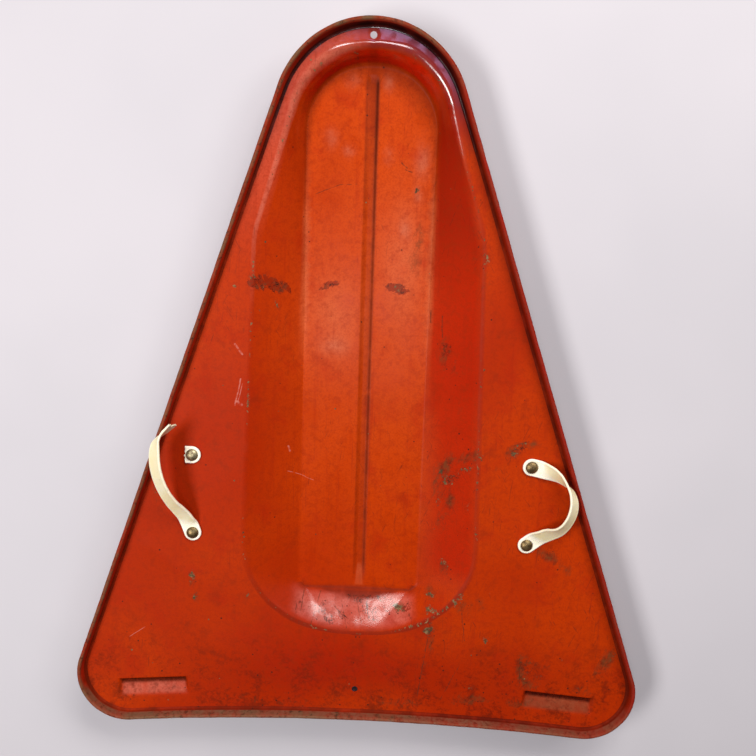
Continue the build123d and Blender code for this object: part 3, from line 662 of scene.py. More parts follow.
def stub():
    """What is left of the left strap under its front rivet: a round tab with a ragged torn side."""
    R, tear = STRAP_W / 2, np.random.default_rng(5)
    rows = [(u, R, 0) for u in np.linspace(-8.6, 0, 9)] + [(R * sin(g), R * cos(g), 1) for g in np.linspace(radians(6), radians(87), 14)]
    m = len(COLUMNS)
    jag = np.interp(COLUMNS, np.linspace(-1, 1, 17), tear.uniform(-0.5, 0.5, 17)) - 0.9 * np.exp(-((COLUMNS + 0.1) / 0.12) ** 2)
    verts, faces, border, torn = [], [], [], []
    for k, (u, w, cap) in enumerate(rows):
        vv = w * COLUMNS
        dist = np.maximum(R - np.hypot(u, vv) if cap else R - np.abs(vv), 0)
        pull = float(smooth(-k, -5, 0))
        t = band_half(dist) * (1 - 0.18 * pull * np.abs(np.sin(COLUMNS * 17)))
        x, y = -RIVET_X + u + jag * pull, RIVET_FRONT_Y + vv
        top, low = np.stack([x, y, Z_FLANGE + 1.5 + t], 1), np.stack([x, y, Z_FLANGE + 1.5 - t], 1)
        verts += list(top) + list(low[m - 2:0:-1])
        b = 1 - smooth(dist, 1.6, 3.0)
        border += list(b) + list(b[m - 2:0:-1])
        torn += [pull] * (2 * m - 2)
    size = 2 * m - 2
    for k in range(len(rows) - 1):
        for j in range(size):
            a, b = k * size + j, k * size + (j + 1) % size
            faces.append((a, a + size, b + size, b))
    for start, flip in ((0, False), ((len(rows) - 1) * size, True)):
        for j in range(m - 1):
            a, b = start + j, start + j + 1
            c, d = start + (size - (j + 1)) % size, start + (size - j) % size
            q = [x for n, x in enumerate((a, b, c, d)) if x not in (a, b, c, d)[:n]]
            if len(q) > 2:
                faces.append(tuple(q[::-1] if not flip else q))
    return np.array(verts), faces, {"border": border, "torn": torn}


v, f, marks = stub()
strap_stub = mesh_object("strap_stub", v, f, marks)


def rivet(name, side, y, play, seed):
    """Domed rivet: peened tail under the sheet, shank, low round head with a soft edge."""
    seat, under = Z_FLANGE + STRAP_T + 2 * play, Z_FLANGE - SHEET
    dome = (7.6 ** 2 + 3.3 ** 2) / (2 * 3.3)
    edge = math.atan2(dome - 3.3, 7.6)
    prof = [(0.0, under - 1.55), (2.2, under - 1.5), (3.6, under - 1.25), (4.5, under - 0.7), (4.6, under - 0.3), (4.4, under - 0.02),
            (2.5, under - 0.01), (2.5, seat), (7.0, seat + 0.0), (7.45, seat + 0.12), (7.6, seat + 0.45), (7.58, seat + 0.8)]
    prof += [(dome * cos(g), seat + 4.2 - dome + dome * sin(g)) for g in np.linspace(edge, pi / 2, 12)[1:]]
    seg, r = 48, np.random.default_rng(seed)
    bumps = [(r.uniform(0, 2 * pi), r.uniform(1.5, 6.5), r.uniform(-0.16, 0.10), r.uniform(0.9, 2.2)) for _ in range(14)]
    verts, faces = [], []
    for k, (rad, z) in enumerate(prof):
        ring = 1 if rad < 1e-6 else seg
        for j in range(ring):
            g = 2 * pi * j / seg
            x0, y0 = rad * cos(g), rad * sin(g)
            lift = sum(h * math.exp(-((x0 - q * cos(b)) ** 2 + (y0 - q * sin(b)) ** 2) / s ** 2) for b, q, h, s in bumps) if k > 11 else 0.0
            verts.append((side * RIVET_X + x0, y + y0, z + lift))
    rings = [1] + [seg] * (len(prof) - 2) + [1]
    starts = np.concatenate([[0], np.cumsum(rings)])
    for k in range(len(prof) - 1):
        a, b = starts[k], starts[k + 1]
        for j in range(seg):
            j2 = (j + 1) % seg
            if rings[k] == 1:
                faces.append((a, b + j2, b + j))
            elif rings[k + 1] == 1:
                faces.append((a + j, a + j2, b))
            else:
                faces.append((a + j, a + j2, b + j2, b + j))
    faces = [tuple(int(i) for i in q) for q in faces]
    return mesh_object(name, np.array(verts), faces)


RIVETS = [("left_front_rivet", -1, RIVET_FRONT_Y, 0.0, 31), ("left_rear_rivet", -1, RIVET_REAR_Y, SWIVEL_GAP, 32),
          ("right_front_rivet", 1, RIVET_FRONT_Y, 0.0, 33), ("right_rear_rivet", 1, RIVET_REAR_Y, 0.0, 34)]
rivets = {name: rivet(name.replace("_rivet", "_domed_rivet"), side, y, play, seed) for name, side, y, play, seed in RIVETS}


# ------------------------------------------------------------------- materials
class Nodes:
    """A material with a few short ways to add nodes."""

    def __init__(self, name):
        self.mat = bpy.data.materials.new(name)
        self.mat.use_nodes = True
        self.tree = self.mat.node_tree
        self.tree.nodes.clear()
        out, self.bsdf = self.new("ShaderNodeOutputMaterial"), self.new("ShaderNodeBsdfPrincipled")
        self.tree.links.new(self.bsdf.outputs[0], out.inputs[0])
        self.pos = self.new("ShaderNodeTexCoord").outputs["Object"]

    def new(self, kind, **props):
        n = self.tree.nodes.new(kind)
        for k, v in props.items():
            setattr(n, k, v)
        return n

    def put(self, socket, value):
        if isinstance(value, bpy.types.NodeSocket):
            self.tree.links.new(value, socket)
        else:
            socket.default_value = value

    def math(self, op, a, b=0.0, clamp=False):
        n = self.new("ShaderNodeMath", operation=op, use_clamp=clamp)
        self.put(n.inputs[0], a), self.put(n.inputs[1], b)
        return n.outputs[0]

    def vec(self, op, a, b=(0, 0, 0)):
        n = self.new("ShaderNodeVectorMath", operation=op)
        self.put(n.inputs[0], a)
        self.put(n.inputs[3] if op == "SCALE" else n.inputs[1], b)
        return n.outputs["Value"] if op in ("LENGTH", "DOT_PRODUCT") else n.outputs["Vector"]

    def mix(self, fac, a, b, blend="MIX"):
        n = self.new("ShaderNodeMix", data_type="RGBA", blend_type=blend)
        self.put(n.inputs[0], fac)
        self.put(n.inputs[6], a if isinstance(a, bpy.types.NodeSocket) else (*a, 1))
        self.put(n.inputs[7], b if isinstance(b, bpy.types.NodeSocket) else (*b, 1))
        return n.outputs[2]

    def span(self, x, lo, hi, a=0.0, b=1.0):
        n = self.new("ShaderNodeMapRange", interpolation_type="SMOOTHSTEP", clamp=True)
        for k, value in enumerate((x, lo, hi, a, b)):
            self.put(n.inputs[k], value)
        return n.outputs[0]

    def noise(self, scale, detail=3.0, rough=0.55, vec=None, twist=0.0):
        n = self.new("ShaderNodeTexNoise")
        self.put(n.inputs["Vector"], vec if vec is not None else self.pos)
        for key, value in (("Scale", scale), ("Detail", detail), ("Roughness", rough), ("Distortion", twist)):
            n.inputs[key].default_value = value
        return n.outputs["Fac"]

    def stretch(self, x, y, z, turn=0.0):
        n = self.new("ShaderNodeMapping")
        self.put(n.inputs["Vector"], self.pos)
        n.inputs["Rotation"].default_value = (0, 0, radians(turn))
        n.inputs["Scale"].default_value = (x, y, z)
        return n.outputs[0]

    def slant(self, x, y, z, turn):
        """Coordinates turned about the upright, then stretched."""
        a, b = self.new("ShaderNodeMapping"), self.new("ShaderNodeMapping")
        self.put(a.inputs["Vector"], self.pos)
        a.inputs["Rotation"].default_value = (0, 0, radians(turn))
        self.put(b.inputs["Vector"], a.outputs[0])
        b.inputs["Scale"].default_value = (x, y, z)
        return b.outputs[0]

    def dots(self, scale):
        n = self.new("ShaderNodeTexVoronoi")
        self.put(n.inputs["Vector"], self.pos)
        n.inputs["Scale"].default_value = scale
        return n.outputs["Distance"], n.outputs["Color"]

    def attr(self, name):
        return self.new("ShaderNodeAttribute", attribute_name=name).outputs["Fac"]

    def bump(self, height, strength, distance, normal=None):
        n = self.new("ShaderNodeBump")
        n.inputs["Strength"].default_value, n.inputs["Distance"].default_value = strength, distance
        self.put(n.inputs["Height"], height)
        if normal is not None:
            self.put(n.inputs["Normal"], normal)
        return n.outputs[0]

    def most(self, *values):
        out = values[0]
        for v in values[1:]:
            out = self.math("MAXIMUM", out, v)
        return out

    def stroke(self, flat, x0, y0, x1, y1, width, soft=1.0):
        """1 on a straight scratch between two points (mm), falling to 0 at its sides and ends."""
        a, b = np.array([x0, y0, 0]) * 0.001, np.array([x1, y1, 0]) * 0.001
        length = float(np.linalg.norm(b - a))
        d = (b - a) / length
        rel = self.vec("SUBTRACT", flat, tuple(a))
        t = self.math("MINIMUM", self.math("MAXIMUM", self.vec("DOT_PRODUCT", rel, tuple(d)), 0.0), length)
        foot_pt = self.new("ShaderNodeVectorMath", operation="SCALE")
        foot_pt.inputs[0].default_value = tuple(d)
        self.put(foot_pt.inputs["Scale"], t)
        off = self.vec("LENGTH", self.vec("SUBTRACT", rel, foot_pt.outputs[0]))
        return self.span(off, width * 0.0005 * (1 - 0.7 * soft), width * 0.0005 * (1 + soft), 1.0, 0.0)


# scratches: x0, y0, x1, y1, width
DARK_SCRATCHES = [
    (93, -312, 82, -399, .8), (133, -262, 140, -314, .8), (135, -350, 113, -398, .6), (213, -336, 215, -370, 1.0), (213, -340, 223, -345, 1.1),
    (-66, 246, -37, 258, .6), (-37, 258, -16, 259, .6), (37, 286, 44, 280, 1.1), (42, 278, 50, 275, 1.0), (80, 109, 81, 89, 1.0),
    (94, 103, 95, 77, 1.1), (186, -52, 206, -46, 1.3), (-75, -300, -72, -266, .9), (-60, -302, -50, -268, .7), (-30, -284, -8, -303, .9),
    (-22, -278, -13, -305, .8), (-2, -276, 6, -300, .7),
]
LIGHT_SCRATCHES = [
    (-158, 63, -149, 51, 1.8), (-158, -13, -151, 20, 1.2), (-155, -12, -149, 14, .8), (-156, -8, -150, -12, 2.6), (-95, -70, -93, -77, 1.5),
    (-95, -103, -63, -117, .6), (-296, -327, -276, -313, 0.6),
]


def painted_steel():
    """Worn red-orange enamel on steel: uneven tone, worn lighter floor, grime and painted shade at the rim's foot,
    painted shade and painted reflections on the walls, flange and floor, chips, scratches, rusty rolled edge.
    """
    m = Nodes("worn_red_enamel")
    under = m.attr("under")
    top_side = m.math("SUBTRACT", 1.0, under)
    floor_w, foot_w, edge_w, bead_w, chip_w, heel_w, tail_w, nose_sheen_w, scab_w, rim_wall_shade_w, shade_deep_red_w, matt_w, slot_w = (m.attr(k) for k in ("floor", "foot", "edge", "bead", "chip", "heel", "tail", "nose_purple_sheen", "scab", "wall", "shade_deep_red", "matt", "pocket_shadow"))
    xyz = m.new("ShaderNodeSeparateXYZ")
    m.put(xyz.inputs[0], m.pos)
    big, mid, fine = m.noise(4.2, 2.0), m.noise(19, 4.0, 0.6), m.noise(130, 4.0, 0.62)
    streak = m.noise(1.0, 3.0, 0.6, m.stretch(150, 7, 60))
    ragged = m.noise(210, 4.0, 0.68, twist=0.6)
    blotch = m.noise(42, 4.0, 0.62)
    nose = m.span(xyz.outputs["Y"], 0.16, 0.36)
    right = m.span(xyz.outputs["X"], 0.04, 0.12)
    rear = m.span(xyz.outputs["Y"], -0.27, -0.41)
    paint = m.mix(m.span(big, 0.36, 0.64), (0.364, 0.0195, 0.0005), (0.440, 0.0325, 0.0006))
    seat = m.math("MULTIPLY", m.math("MULTIPLY", floor_w, m.span(xyz.outputs["Y"], -0.24, 0.12, 0.2, 1.0)), m.span(mid, 0.2, 0.6, 0.5, 0.9))
    paint = m.mix(seat, paint, (0.524, 0.0560, 0.0040))
    # painted reflection: dark purple sheen on the nose flange
    paint = m.mix(m.math("MULTIPLY", nose_sheen_w, 0.85), paint, (0.145, 0.0130, 0.0230))
    # painted reflection: pink sheen on the left front flange
    paint = m.mix(m.math("MULTIPLY", m.attr("left_flange_sheen"), 0.42), paint, (0.560, 0.1050, 0.0620))
    paint = m.mix(m.math("MULTIPLY", m.attr("spot"), m.span(blotch, 0.3, 0.6, 0.15, 0.55)), paint, (0.470, 0.1500, 0.0850))
    # painted shade: deeper red on the right and front walls and the rear flange
    paint = m.mix(m.math("MULTIPLY", shade_deep_red_w, 0.65), paint, (0.415, 0.0085, 0.0004))
    # painted bounce light: brighter, purer red on the front wall of the trough
    paint = m.mix(m.math("MULTIPLY", m.attr("front"), 0.8), paint, (0.640, 0.0120, 0.0006))
    # painted shade: dark red on the right wall, the rear flange and the floor's left front
    paint = m.mix(m.math("MULTIPLY", m.attr("painted_shade"), 0.5), paint, (0.225, 0.0055, 0.0004))
    # painted reflection: lighter salmon patches on the floor beside the groove
    paint = m.mix(m.math("MULTIPLY", m.attr("floor_sheen_patches"), m.span(mid, 0.32, 0.6, 0.3, 0.62)), paint, (0.575, 0.1200, 0.0420))
    # painted highlight: light line along the floor's side bends
    paint = m.mix(m.math("MULTIPLY", m.attr("fold"), m.span(mid, 0.3, 0.6, 0.12, 0.5)), paint, (0.640, 0.1450, 0.0500))
    # painted highlight: lighter pink line along the left front shoulder
    paint = m.mix(m.math("MULTIPLY", m.attr("left_lip_highlight"), m.span(blotch, 0.32, 0.6, 0.25, 0.55)), paint, (0.640, 0.1800, 0.1100))
    # painted light: lit pink ramp in the left pocket, browner in the right
    paint = m.mix(m.math("MULTIPLY", m.attr("ramp_light"), m.span(blotch, 0.3, 0.6, 0.3, 0.55)), paint, m.mix(right, (0.520, 0.1350, 0.0880), (0.270, 0.0950, 0.0420)))
    # painted shade: the rim's inner wall and rolled edge deep red, dark maroon along the right side
    paint = m.mix(m.math("MULTIPLY", rim_wall_shade_w, 0.62), paint, m.mix(right, (0.430, 0.0140, 0.0055), (0.200, 0.0070, 0.0028)))
    # painted reflection: pink sheen on the rear wall of the trough
    paint = m.mix(m.math("MULTIPLY", tail_w, m.span(mid, 0.3, 0.62, 0.28, 0.46)), paint, (0.62, 0.190, 0.150))
    paint = m.mix(m.span(mid, 0.50, 0.74, 0.0, 0.55), paint, (0.345, 0.0125, 0.0010))
    paint = m.mix(m.span(streak, 0.52, 0.80, 0.0, 0.38), paint, (0.30, 0.0150, 0.0020))
    paint = m.mix(m.math("MULTIPLY", m.span(blotch, 0.57, 0.74, 0.0, 0.38), m.math("SUBTRACT", 1.0, m.math("MULTIPLY", floor_w, 0.6))), paint, (0.20, 0.0170, 0.0026))
    paint = m.mix(m.span(fine, 0.47, 0.67, 0.0, 0.34), paint, (0.27, 0.0180, 0.0018))
    grain = m.noise(470, 2.0, 0.6)
    paint = m.mix(m.span(grain, 0.42, 0.68, 0.0, 0.27), paint, (0.255, 0.0150, 0.0016))
    streaky = m.stroke(m.vec("MULTIPLY", m.pos, (1, 1, 0)), 0, 414, 3, 320, 9.0)
    paint = m.mix(m.math("MULTIPLY", streaky, 0.35), paint, (0.20, 0.0090, 0.0010))
    # grime and painted shade: grime with a painted shade line at the foot of the rim, painted shade inside the nose rim
    # and along the right side, painted shadow in the pockets, stain on the rear flange, and the floor's bend at the
    # rear darkened with grime and painted shade
    grime_and_shade = m.math("MULTIPLY", foot_w, m.span(blotch, 0.28, 0.60, m.math("ADD", 0.55, m.math("MULTIPLY", nose, 0.33)), 1.0))
    grime_and_shade = m.math("MULTIPLY", grime_and_shade, m.math("ADD", 0.72, m.math("MULTIPLY", nose, 0.25)))
    # painted shadow in the pockets
    grime_and_shade = m.most(grime_and_shade, m.math("MULTIPLY", slot_w, m.span(ragged, 0.30, 0.60, 0.66, 0.92)))
    stain = m.math("MULTIPLY", rear, m.span(m.math("ADD", m.math("MULTIPLY", ragged, 0.5), m.math("MULTIPLY", blotch, 0.5)), 0.46, 0.63, 0.0, 0.5))
    # grime and painted shade along the floor's bend at the rear and at the nose
    heel = m.math("MULTIPLY", heel_w, m.span(blotch, 0.25, 0.6, 0.45, 0.85))
    paint = m.mix(m.math("MULTIPLY", heel, 0.9), paint, (0.120, 0.0085, 0.0014))
    paint = m.mix(m.most(grime_and_shade, stain), paint, m.mix(m.math("MULTIPLY", m.most(nose, m.math("MULTIPLY", right, 0.8)), m.math("SUBTRACT", 1.0, floor_w)), (0.060, 0.0065, 0.0014), (0.016, 0.0010, 0.0008)))
    # painted light: lighter orange on the groove's rear run-out
    paint = m.mix(m.math("MULTIPLY", m.attr("runout_light"), m.span(blotch, 0.34, 0.6, 0.42, 0.2)), paint, (0.560, 0.1250, 0.0450))
    # shoulders worn to thin lighter paint, with more of it at the nose as a painted reflection; painted shade darkening
    # the shoulders' flanks, more on the right; then specks down to the metal
    rub_and_nose_sheen = m.math("MULTIPLY", edge_w, m.span(blotch, 0.42, 0.66))
    paint = m.mix(m.math("MULTIPLY", rub_and_nose_sheen, m.math("ADD", 0.05, m.math("MULTIPLY", nose, 0.17))), paint, (0.54, 0.085, 0.040))
    flank_shade = m.math("MULTIPLY", m.math("MULTIPLY", edge_w, m.math("SUBTRACT", 1.0, nose)), m.math("SUBTRACT", 1.0, tail_w))
    paint = m.mix(m.math("MULTIPLY", flank_shade, m.math("ADD", 0.22, m.math("MULTIPLY", right, 0.22))), paint, (0.235, 0.0080, 0.0008))
    edge_chip = m.span(m.math("ADD", m.math("MULTIPLY", edge_w, 0.22), m.math("ADD", m.math("MULTIPLY", ragged, 0.55), m.math("MULTIPLY", mid, 0.35))), 0.72, 0.76)
    place_chip = m.span(m.math("ADD", m.math("MULTIPLY", chip_w, 0.46), m.math("ADD", m.math("MULTIPLY", ragged, 0.62), m.math("MULTIPLY", blotch, 0.30))), 0.74, 0.80)
    flake = m.span(m.math("ADD", m.math("MULTIPLY", scab_w, 0.62), m.math("MULTIPLY", ragged, 0.62)), 0.62, 0.68, 0.0, 0.75)
    crease = m.span(m.math("ABSOLUTE", m.math("SUBTRACT", m.noise(95, 3.0, 0.6, twist=0.8), 0.5)), 0.006, 0.022, 1.0, 0.0)
    crease = m.math("MULTIPLY", crease, m.span(m.most(scab_w, m.math("MULTIPLY", tail_w, m.span(blotch, 0.44, 0.56))), 0.25, 0.7))
    halo = m.span(m.math("ADD", m.math("MULTIPLY", chip_w, 0.5), m.math("MULTIPLY", blotch, 0.6)), 0.48, 0.80, 0.0, 0.7)
    cell, tone = m.dots(58)
    pick = m.new("ShaderNodeSeparateColor")
    m.put(pick.inputs[0], tone)
    speck = m.math("MULTIPLY", m.math("LESS_THAN", cell, m.math("MULTIPLY", pick.outputs[0], 0.075)), m.math("GREATER_THAN", pick.outputs[1], 0.60))
    sway = m.vec("MULTIPLY", m.vec("SUBTRACT", m.new_colour(70), (0.5, 0.5, 0.5)), (0.0022, 0.0022, 0))
    flatpos = m.vec("MULTIPLY", m.vec("ADD", m.pos, sway), (1, 1, 0))
    gaps = m.span(fine, 0.36, 0.58)
    dark = m.math("MULTIPLY", m.most(*[m.stroke(flatpos, *s) for s in DARK_SCRATCHES]), gaps)
    light = m.math("MULTIPLY", m.most(*[m.stroke(flatpos, *s) for s in LIGHT_SCRATCHES]), gaps)
    hair = m.span(m.noise(1.0, 2.0, 0.5, m.stretch(900, 11, 40, 8)), 0.66, 0.72, 0.0, 0.6)
    hair = m.math("MULTIPLY", hair, m.span(big, 0.42, 0.62))
    # grease and rust smears, fine dark specks, crossing scratches
    drag = m.noise(1.0, 4.0, 0.65, m.slant(210, 62, 90, 18))
    smear = m.span(m.math("ADD", m.math("MULTIPLY", m.attr("smear"), 0.46), m.math("ADD", m.math("MULTIPLY", drag, 0.42), m.math("MULTIPLY", ragged, 0.28))), 0.56, 0.82, 0.0, 0.78)
    small, hue = m.dots(165)
    take = m.new("ShaderNodeSeparateColor")
    m.put(take.inputs[0], hue)
    zone = m.most(m.math("MULTIPLY", rear, 0.8), tail_w, m.math("MULTIPLY", m.attr("smear"), 1.2), m.span(mid, 0.45, 0.7, 0.0, 0.55))
    mote = m.math("MULTIPLY", m.span(m.math("SUBTRACT", small, m.math("MULTIPLY", take.outputs[0], 0.21)), -0.03, 0.03, 1.0, 0.0), m.math("LESS_THAN", take.outputs[1], m.math("MULTIPLY", zone, 0.42)))
    lines = m.most(*[m.span(m.noise(1.0, 2.0, 0.5, m.slant(fx, fy, 60, g)), 0.69, 0.73, 0.0, 1.0) for fx, fy, g in ((560, 36, 24), (620, 44, -31), (520, 30, 4))])
    lines = m.math("MULTIPLY", lines, m.math("MULTIPLY", m.span(big, 0.44, 0.6), 0.5))
    scored = m.most(*[m.span(m.noise(1.0, 2.0, 0.5, m.slant(fx, fy, 60, g)), 0.61, 0.65, 0.0, 1.0) for fx, fy, g in ((430, 52, 33), (470, 60, -14))])
    lines = m.most(lines, m.math("MULTIPLY", m.math("MULTIPLY", scored, m.span(tail_w, 0.3, 0.7)), m.span(blotch, 0.46, 0.58)))
    paint = m.mix(m.math("MULTIPLY", smear, top_side), paint, m.mix(m.span(fine, 0.4, 0.62), (0.060, 0.0160, 0.0060), (0.115, 0.0420, 0.0130)))
    paint = m.mix(m.math("MULTIPLY", m.math("MULTIPLY", mote, 0.8), top_side), paint, (0.040, 0.0110, 0.0060))
    paint = m.mix(m.math("MULTIPLY", m.math("MULTIPLY", lines, 0.8), top_side), paint, (0.070, 0.0130, 0.0060))
    bare = m.math("MULTIPLY", m.most(edge_chip, place_chip, speck), top_side)
    metal = m.mix(m.span(fine, 0.38, 0.66), (0.075, 0.038, 0.017), (0.235, 0.150, 0.070))
    paint = m.mix(m.math("MULTIPLY", hair, 0.6), paint, (0.17, 0.016, 0.006))
    paint = m.mix(m.math("MULTIPLY", halo, top_side), paint, (0.16, 0.018, 0.006))
    paint = m.mix(m.math("MULTIPLY", m.math("MULTIPLY", light, 0.55), top_side), paint, (0.62, 0.24, 0.19))
    paint = m.mix(m.math("MULTIPLY", m.math("MULTIPLY", dark, 0.8), top_side), paint, (0.075, 0.022, 0.010))
    paint = m.mix(m.math("MULTIPLY", flake, top_side), paint, m.mix(m.span(fine, 0.42, 0.65), (0.190, 0.0125, 0.0025), (0.120, 0.0300, 0.0120)))
    paint = m.mix(m.math("MULTIPLY", m.math("MULTIPLY", crease, 0.85), top_side), paint, (0.030, 0.0085, 0.0050))
    paint = m.mix(bare, paint, metal)
    # rolled edge: paint rubbed thin, brown and olive patches, dark pits
    rusty = m.mix(m.span(blotch, 0.36, 0.64), (0.215, 0.032, 0.013), (0.150, 0.072, 0.034))
    rusty = m.mix(m.span(ragged, 0.54, 0.66, 0.0, 0.85), rusty, (0.040, 0.020, 0.011))
    rusty = m.mix(m.math("MULTIPLY", m.math("MULTIPLY", right, m.span(xyz.outputs["Y"], -0.370, -0.408, 1.0, 0.45)), m.span(mid, 0.34, 0.60, 1.0, 0.72)), rusty, (0.255, 0.0100, 0.0050))
    rusty = m.mix(m.math("MULTIPLY", m.span(xyz.outputs["Y"], -0.385, -0.42), m.math("MULTIPLY", m.span(ragged, 0.36, 0.6, 0.7, 0.1), m.span(xyz.outputs["X"], 0.16, 0.30, 1.0, 0.5))), rusty, (0.205, 0.0860, 0.0500))
    worn = m.math("MULTIPLY", m.span(bead_w, 0.12, 0.75), m.span(mid, 0.25, 0.55, 0.55, 1.0))
    paint = m.mix(worn, paint, rusty)
    # underside: duller, with surface rust along its scrapes
    scrape = m.math("MULTIPLY", under, m.span(m.noise(1.0, 5.0, 0.62, m.stretch(30, 9, 30)), 0.46, 0.64, 0.0, 0.8))
    paint = m.mix(scrape, paint, (0.15, 0.048, 0.022))
    m.put(m.bsdf.inputs["Base Color"], paint)
    gloss = m.math("MULTIPLY", m.attr("gloss"), m.span(m.noise(34, 3.0, 0.6), 0.40, 0.54, 0.2, 1.0))
    rough = m.math("SUBTRACT", m.span(mid, 0.3, 0.7, 0.44, 0.53), m.math("MULTIPLY", m.most(gloss, m.math("MULTIPLY", floor_w, 0.8)), 0.24))
    rough = m.math("ADD", rough, m.math("MULTIPLY", m.most(bare, worn, grime_and_shade, scrape, stain, matt_w, m.math("MULTIPLY", heel, 0.5)), 0.36), clamp=True)
    m.put(m.bsdf.inputs["Roughness"], rough)
    m.bsdf.inputs["IOR"].default_value = 1.5
    m.bsdf.inputs["Specular IOR Level"].default_value = 0.06
    m.put(m.bsdf.inputs["Coat Weight"], m.math("MULTIPLY", gloss, top_side))
    m.bsdf.inputs["Coat Roughness"].default_value = 0.13
    m.bsdf.inputs["Coat IOR"].default_value = 1.8
    pits = m.noise(400, 3.0, 0.62)
    relief = m.math("MULTIPLY", pits, m.math("ADD", 0.08, bead_w))
    uneven = m.bump(m.math("MULTIPLY", m.noise(30, 2.0, 0.5), m.attr("gloss")), 0.6, 0.0035)
    m.put(m.bsdf.inputs["Normal"], m.bump(relief, 0.4, 0.0005, uneven))
    return m.mat


def new_colour(self, scale):
    n = self.new("ShaderNodeTexNoise")
    self.put(n.inputs["Vector"], self.pos)
    n.inputs["Scale"].default_value, n.inputs["Detail"].default_value = scale, 2.0
    return n.outputs["Color"]


Nodes.new_colour = new_colour


def vinyl():
    """Aged ivory vinyl: yellowed middle, paler raised border, whiter low flat tabs as painted light, fine grain, grime,
    whiter torn core.
    """
    m = Nodes("aged_ivory_vinyl")
    border, torn = m.attr("border"), m.attr("torn")
    tone = m.mix(m.span(m.noise(42, 4.0), 0.32, 0.70), (0.925, 0.810, 0.480), (0.945, 0.865, 0.590))
    tone = m.mix(m.span(m.noise(11, 2.0), 0.40, 0.70, 0.0, 0.35), tone, (0.890, 0.740, 0.380))
    tone = m.mix(m.math("MULTIPLY", border, 0.5), tone, (0.965, 0.930, 0.780))
    height = m.new("ShaderNodeSeparateXYZ")
    m.put(height.inputs[0], m.pos)
    # painted light: whiter where the strap lies low and flat on the sheet, at its tabs
    tone = m.mix(m.span(height.outputs["Z"], 0.0432, 0.0470, 0.55, 0.0), tone, (0.975, 0.950, 0.860))
    grime = m.span(m.noise(160, 5.0, 0.65), 0.58, 0.80, 0.0, 0.40)
    tone = m.mix(grime, tone, (0.430, 0.300, 0.130))
    tone = m.mix(m.math("MULTIPLY", torn, m.span(m.noise(500, 3.0), 0.3, 0.6, 0.2, 0.8)), tone, (0.86, 0.80, 0.62))
    crack = m.new("ShaderNodeTexVoronoi", feature="DISTANCE_TO_EDGE")
    m.put(crack.inputs["Vector"], m.pos)
    crack.inputs["Scale"].default_value = 330
    line = m.span(crack.outputs["Distance"], 0.0, 0.05, 1.0, 0.0)
    line = m.math("MULTIPLY", line, m.span(m.noise(36, 2.0), 0.50, 0.66))
    tone = m.mix(m.math("MULTIPLY", line, 0.35), tone, (0.34, 0.23, 0.10))
    m.put(m.bsdf.inputs["Base Color"], tone)
    m.put(m.bsdf.inputs["Roughness"], m.span(m.noise(75, 4.0), 0.3, 0.7, 0.30, 0.46))
    m.bsdf.inputs["Subsurface Weight"].default_value = 0.08
    m.bsdf.inputs["Subsurface Radius"].default_value = (0.003, 0.002, 0.001)
    grain = m.math("ADD", m.math("MULTIPLY", m.noise(900, 2.0), 0.6), m.math("MULTIPLY", line, -0.9))
    m.put(m.bsdf.inputs["Normal"], m.bump(grain, 0.35, 0.0002))
    return m.mat


def brass(name, low, high, green):
    """Antique brass with dark patina in the pits."""
    m = Nodes(name)
    tone = m.mix(m.span(m.noise(260, 5.0, 0.62), 0.30, 0.70), low, high)
    tone = m.mix(m.span(m.noise(520, 3.0), 0.56, 0.72, 0.0, 0.8), tone, (0.035, 0.024, 0.012))
    tone = m.mix(m.span(m.noise(190, 3.0), 0.50, 0.74, 0.0, green), tone, (0.20, 0.24, 0.15))
    m.put(m.bsdf.inputs["Base Color"], tone)
    m.bsdf.inputs["Metallic"].default_value = 0.85
    m.put(m.bsdf.inputs["Roughness"], m.span(m.noise(380, 4.0), 0.3, 0.7, 0.34, 0.58))
    m.put(m.bsdf.inputs["Normal"], m.bump(m.noise(650, 4.0, 0.6), 0.5, 0.0003))
    return m.mat


enamel, ivory = painted_steel(), vinyl()
dark_brass = brass("antique_brass", (0.13, 0.085, 0.036), (0.29, 0.20, 0.085), 0.2)
pale_brass = brass("pale_antique_brass", (0.24, 0.19, 0.10), (0.50, 0.43, 0.26), 0.45)

pan.data.materials.append(enamel)
for o in (right_strap, left_strap, strap_stub):
    o.data.materials.append(ivory)
for name, o in rivets.items():
    o.data.materials.append(pale_brass if name == "left_front_rivet" else dark_brass)

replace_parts(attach(pan, "sled"), "pan")
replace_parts(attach(right_strap, "sled"), "right_handle_strap")
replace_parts(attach(left_strap, "torn_strap"), "left_handle_strap")
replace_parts(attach(strap_stub, "sled"), "left_strap_stub")
for name, o in rivets.items():
    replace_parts(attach(o, "sled"), name)

# ------------------------------------------------------- floor, camera and light
floor_mesh = bpy.data.meshes.new("floor")
S = 30.0
floor_mesh.from_pydata([(-S, -S, -0.0004), (S, -S, -0.0004), (S, S, -0.0004), (-S, S, -0.0004)], [], [(0, 1, 2, 3)])
floor = bpy.data.objects.new("floor", floor_mesh)
bpy.context.scene.collection.objects.link(floor)
pale = Nodes("pale_floor")
pale.put(pale.bsdf.inputs["Base Color"], pale.mix(pale.span(pale.noise(2.0, 3.0), 0.3, 0.7), (0.560, 0.540, 0.565), (0.600, 0.575, 0.600)))
pale.bsdf.inputs["Roughness"].default_value = 0.9
pale.bsdf.inputs["Specular IOR Level"].default_value = 0.1
floor_mesh.materials.append(pale.mat)

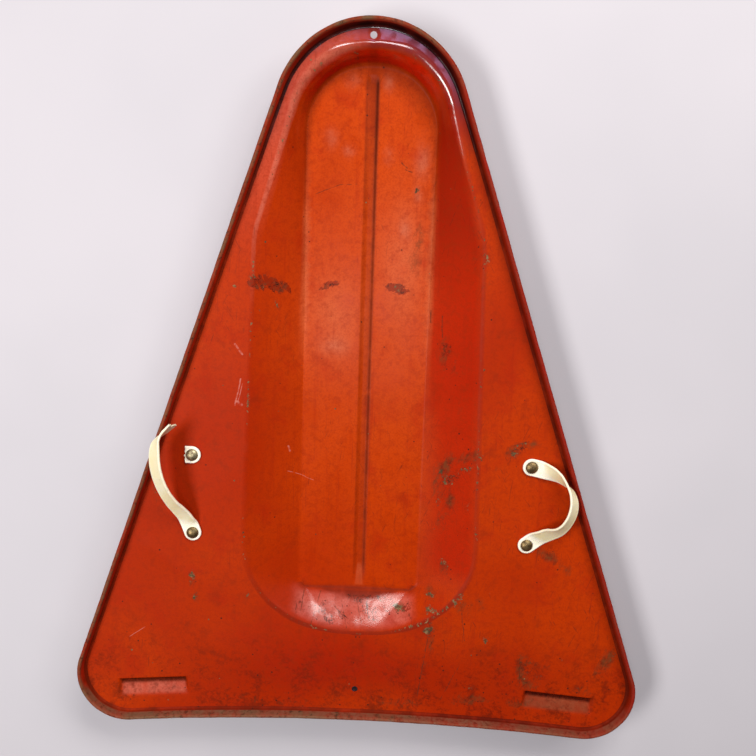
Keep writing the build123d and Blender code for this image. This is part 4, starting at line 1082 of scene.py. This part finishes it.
cam_data = bpy.data.cameras.new("camera")
cam_data.sensor_width, cam_data.lens = 36.0, 36.0 * 775 / 756
cam_data.clip_start, cam_data.clip_end = 0.01, 100
camera = bpy.data.objects.new("camera", cam_data)
bpy.context.scene.collection.objects.link(camera)
phi, psi, rho = radians(10), radians(0.99), radians(1.87)
turn_y = Matrix(((cos(psi), 0, sin(psi)), (0, 1, 0), (-sin(psi), 0, cos(psi))))
tilt = Matrix(((1, 0, 0), (0, cos(phi), sin(phi)), (0, -sin(phi), cos(phi))))
roll = Matrix(((cos(rho), -sin(rho), 0), (sin(rho), cos(rho), 0), (0, 0, 1)))
camera.matrix_world = Matrix.Translation((0.0335, 0.1917, 0.9716)) @ (turn_y @ tilt @ roll).to_4x4()
bpy.context.scene.camera = camera


def softbox(name, at, target, size, power, colour=(1, 1, 1)):
    data = bpy.data.lights.new(name, "AREA")
    data.shape, data.size, data.size_y, data.energy, data.color = "RECTANGLE", size[0], size[1], power, colour
    o = bpy.data.objects.new(name, data)
    bpy.context.scene.collection.objects.link(o)
    o.location = at
    o.rotation_mode = "QUATERNION"
    o.rotation_quaternion = (Vector(target) - Vector(at)).to_track_quat("-Z", "Y")
    return o


def lamp(name, at, size, turn, radiance, colour=(1, 1, 1)):
    """A lamp hanging level over the sled, given by its brightness."""
    o = softbox(name, at, (at[0], at[1], 0), size, radiance * pi * size[0] * size[1], colour)
    o.rotation_mode = "XYZ"
    o.rotation_euler = (0, 0, radians(turn))
    return o


softbox("key", (0.55, 1.75, 1.45), (0, -0.1, 0), (1.2, 0.75), 36, (1.0, 0.97, 0.94))
softbox("right", (1.75, 1.35, 1.55), (0, 0, 0), (0.9, 0.9), 20, (1.0, 0.97, 0.95))
softbox("window", (-1.30, -0.10, 1.85), (0, 0.1, 0), (1.25, 0.6), 36, (1.0, 0.98, 0.97))
lamp("ceiling", (-0.06, -0.04, 2.0), (0.43, 0.39), 0, 11.3, (0.98, 0.95, 1.0))
lamp("nose_purple_sheen", (0.12, 0.98, 2.0), (0.60, 0.36), 0, 2.6, (0.72, 0.55, 1.0))
world = bpy.data.worlds.new("studio")
world.use_nodes = True
world.node_tree.nodes["Background"].inputs[0].default_value = (0.93, 0.90, 0.97, 1)
world.node_tree.nodes["Background"].inputs[1].default_value = 0.07
bpy.context.scene.world = world
bpy.context.scene.view_settings.view_transform = "Standard"
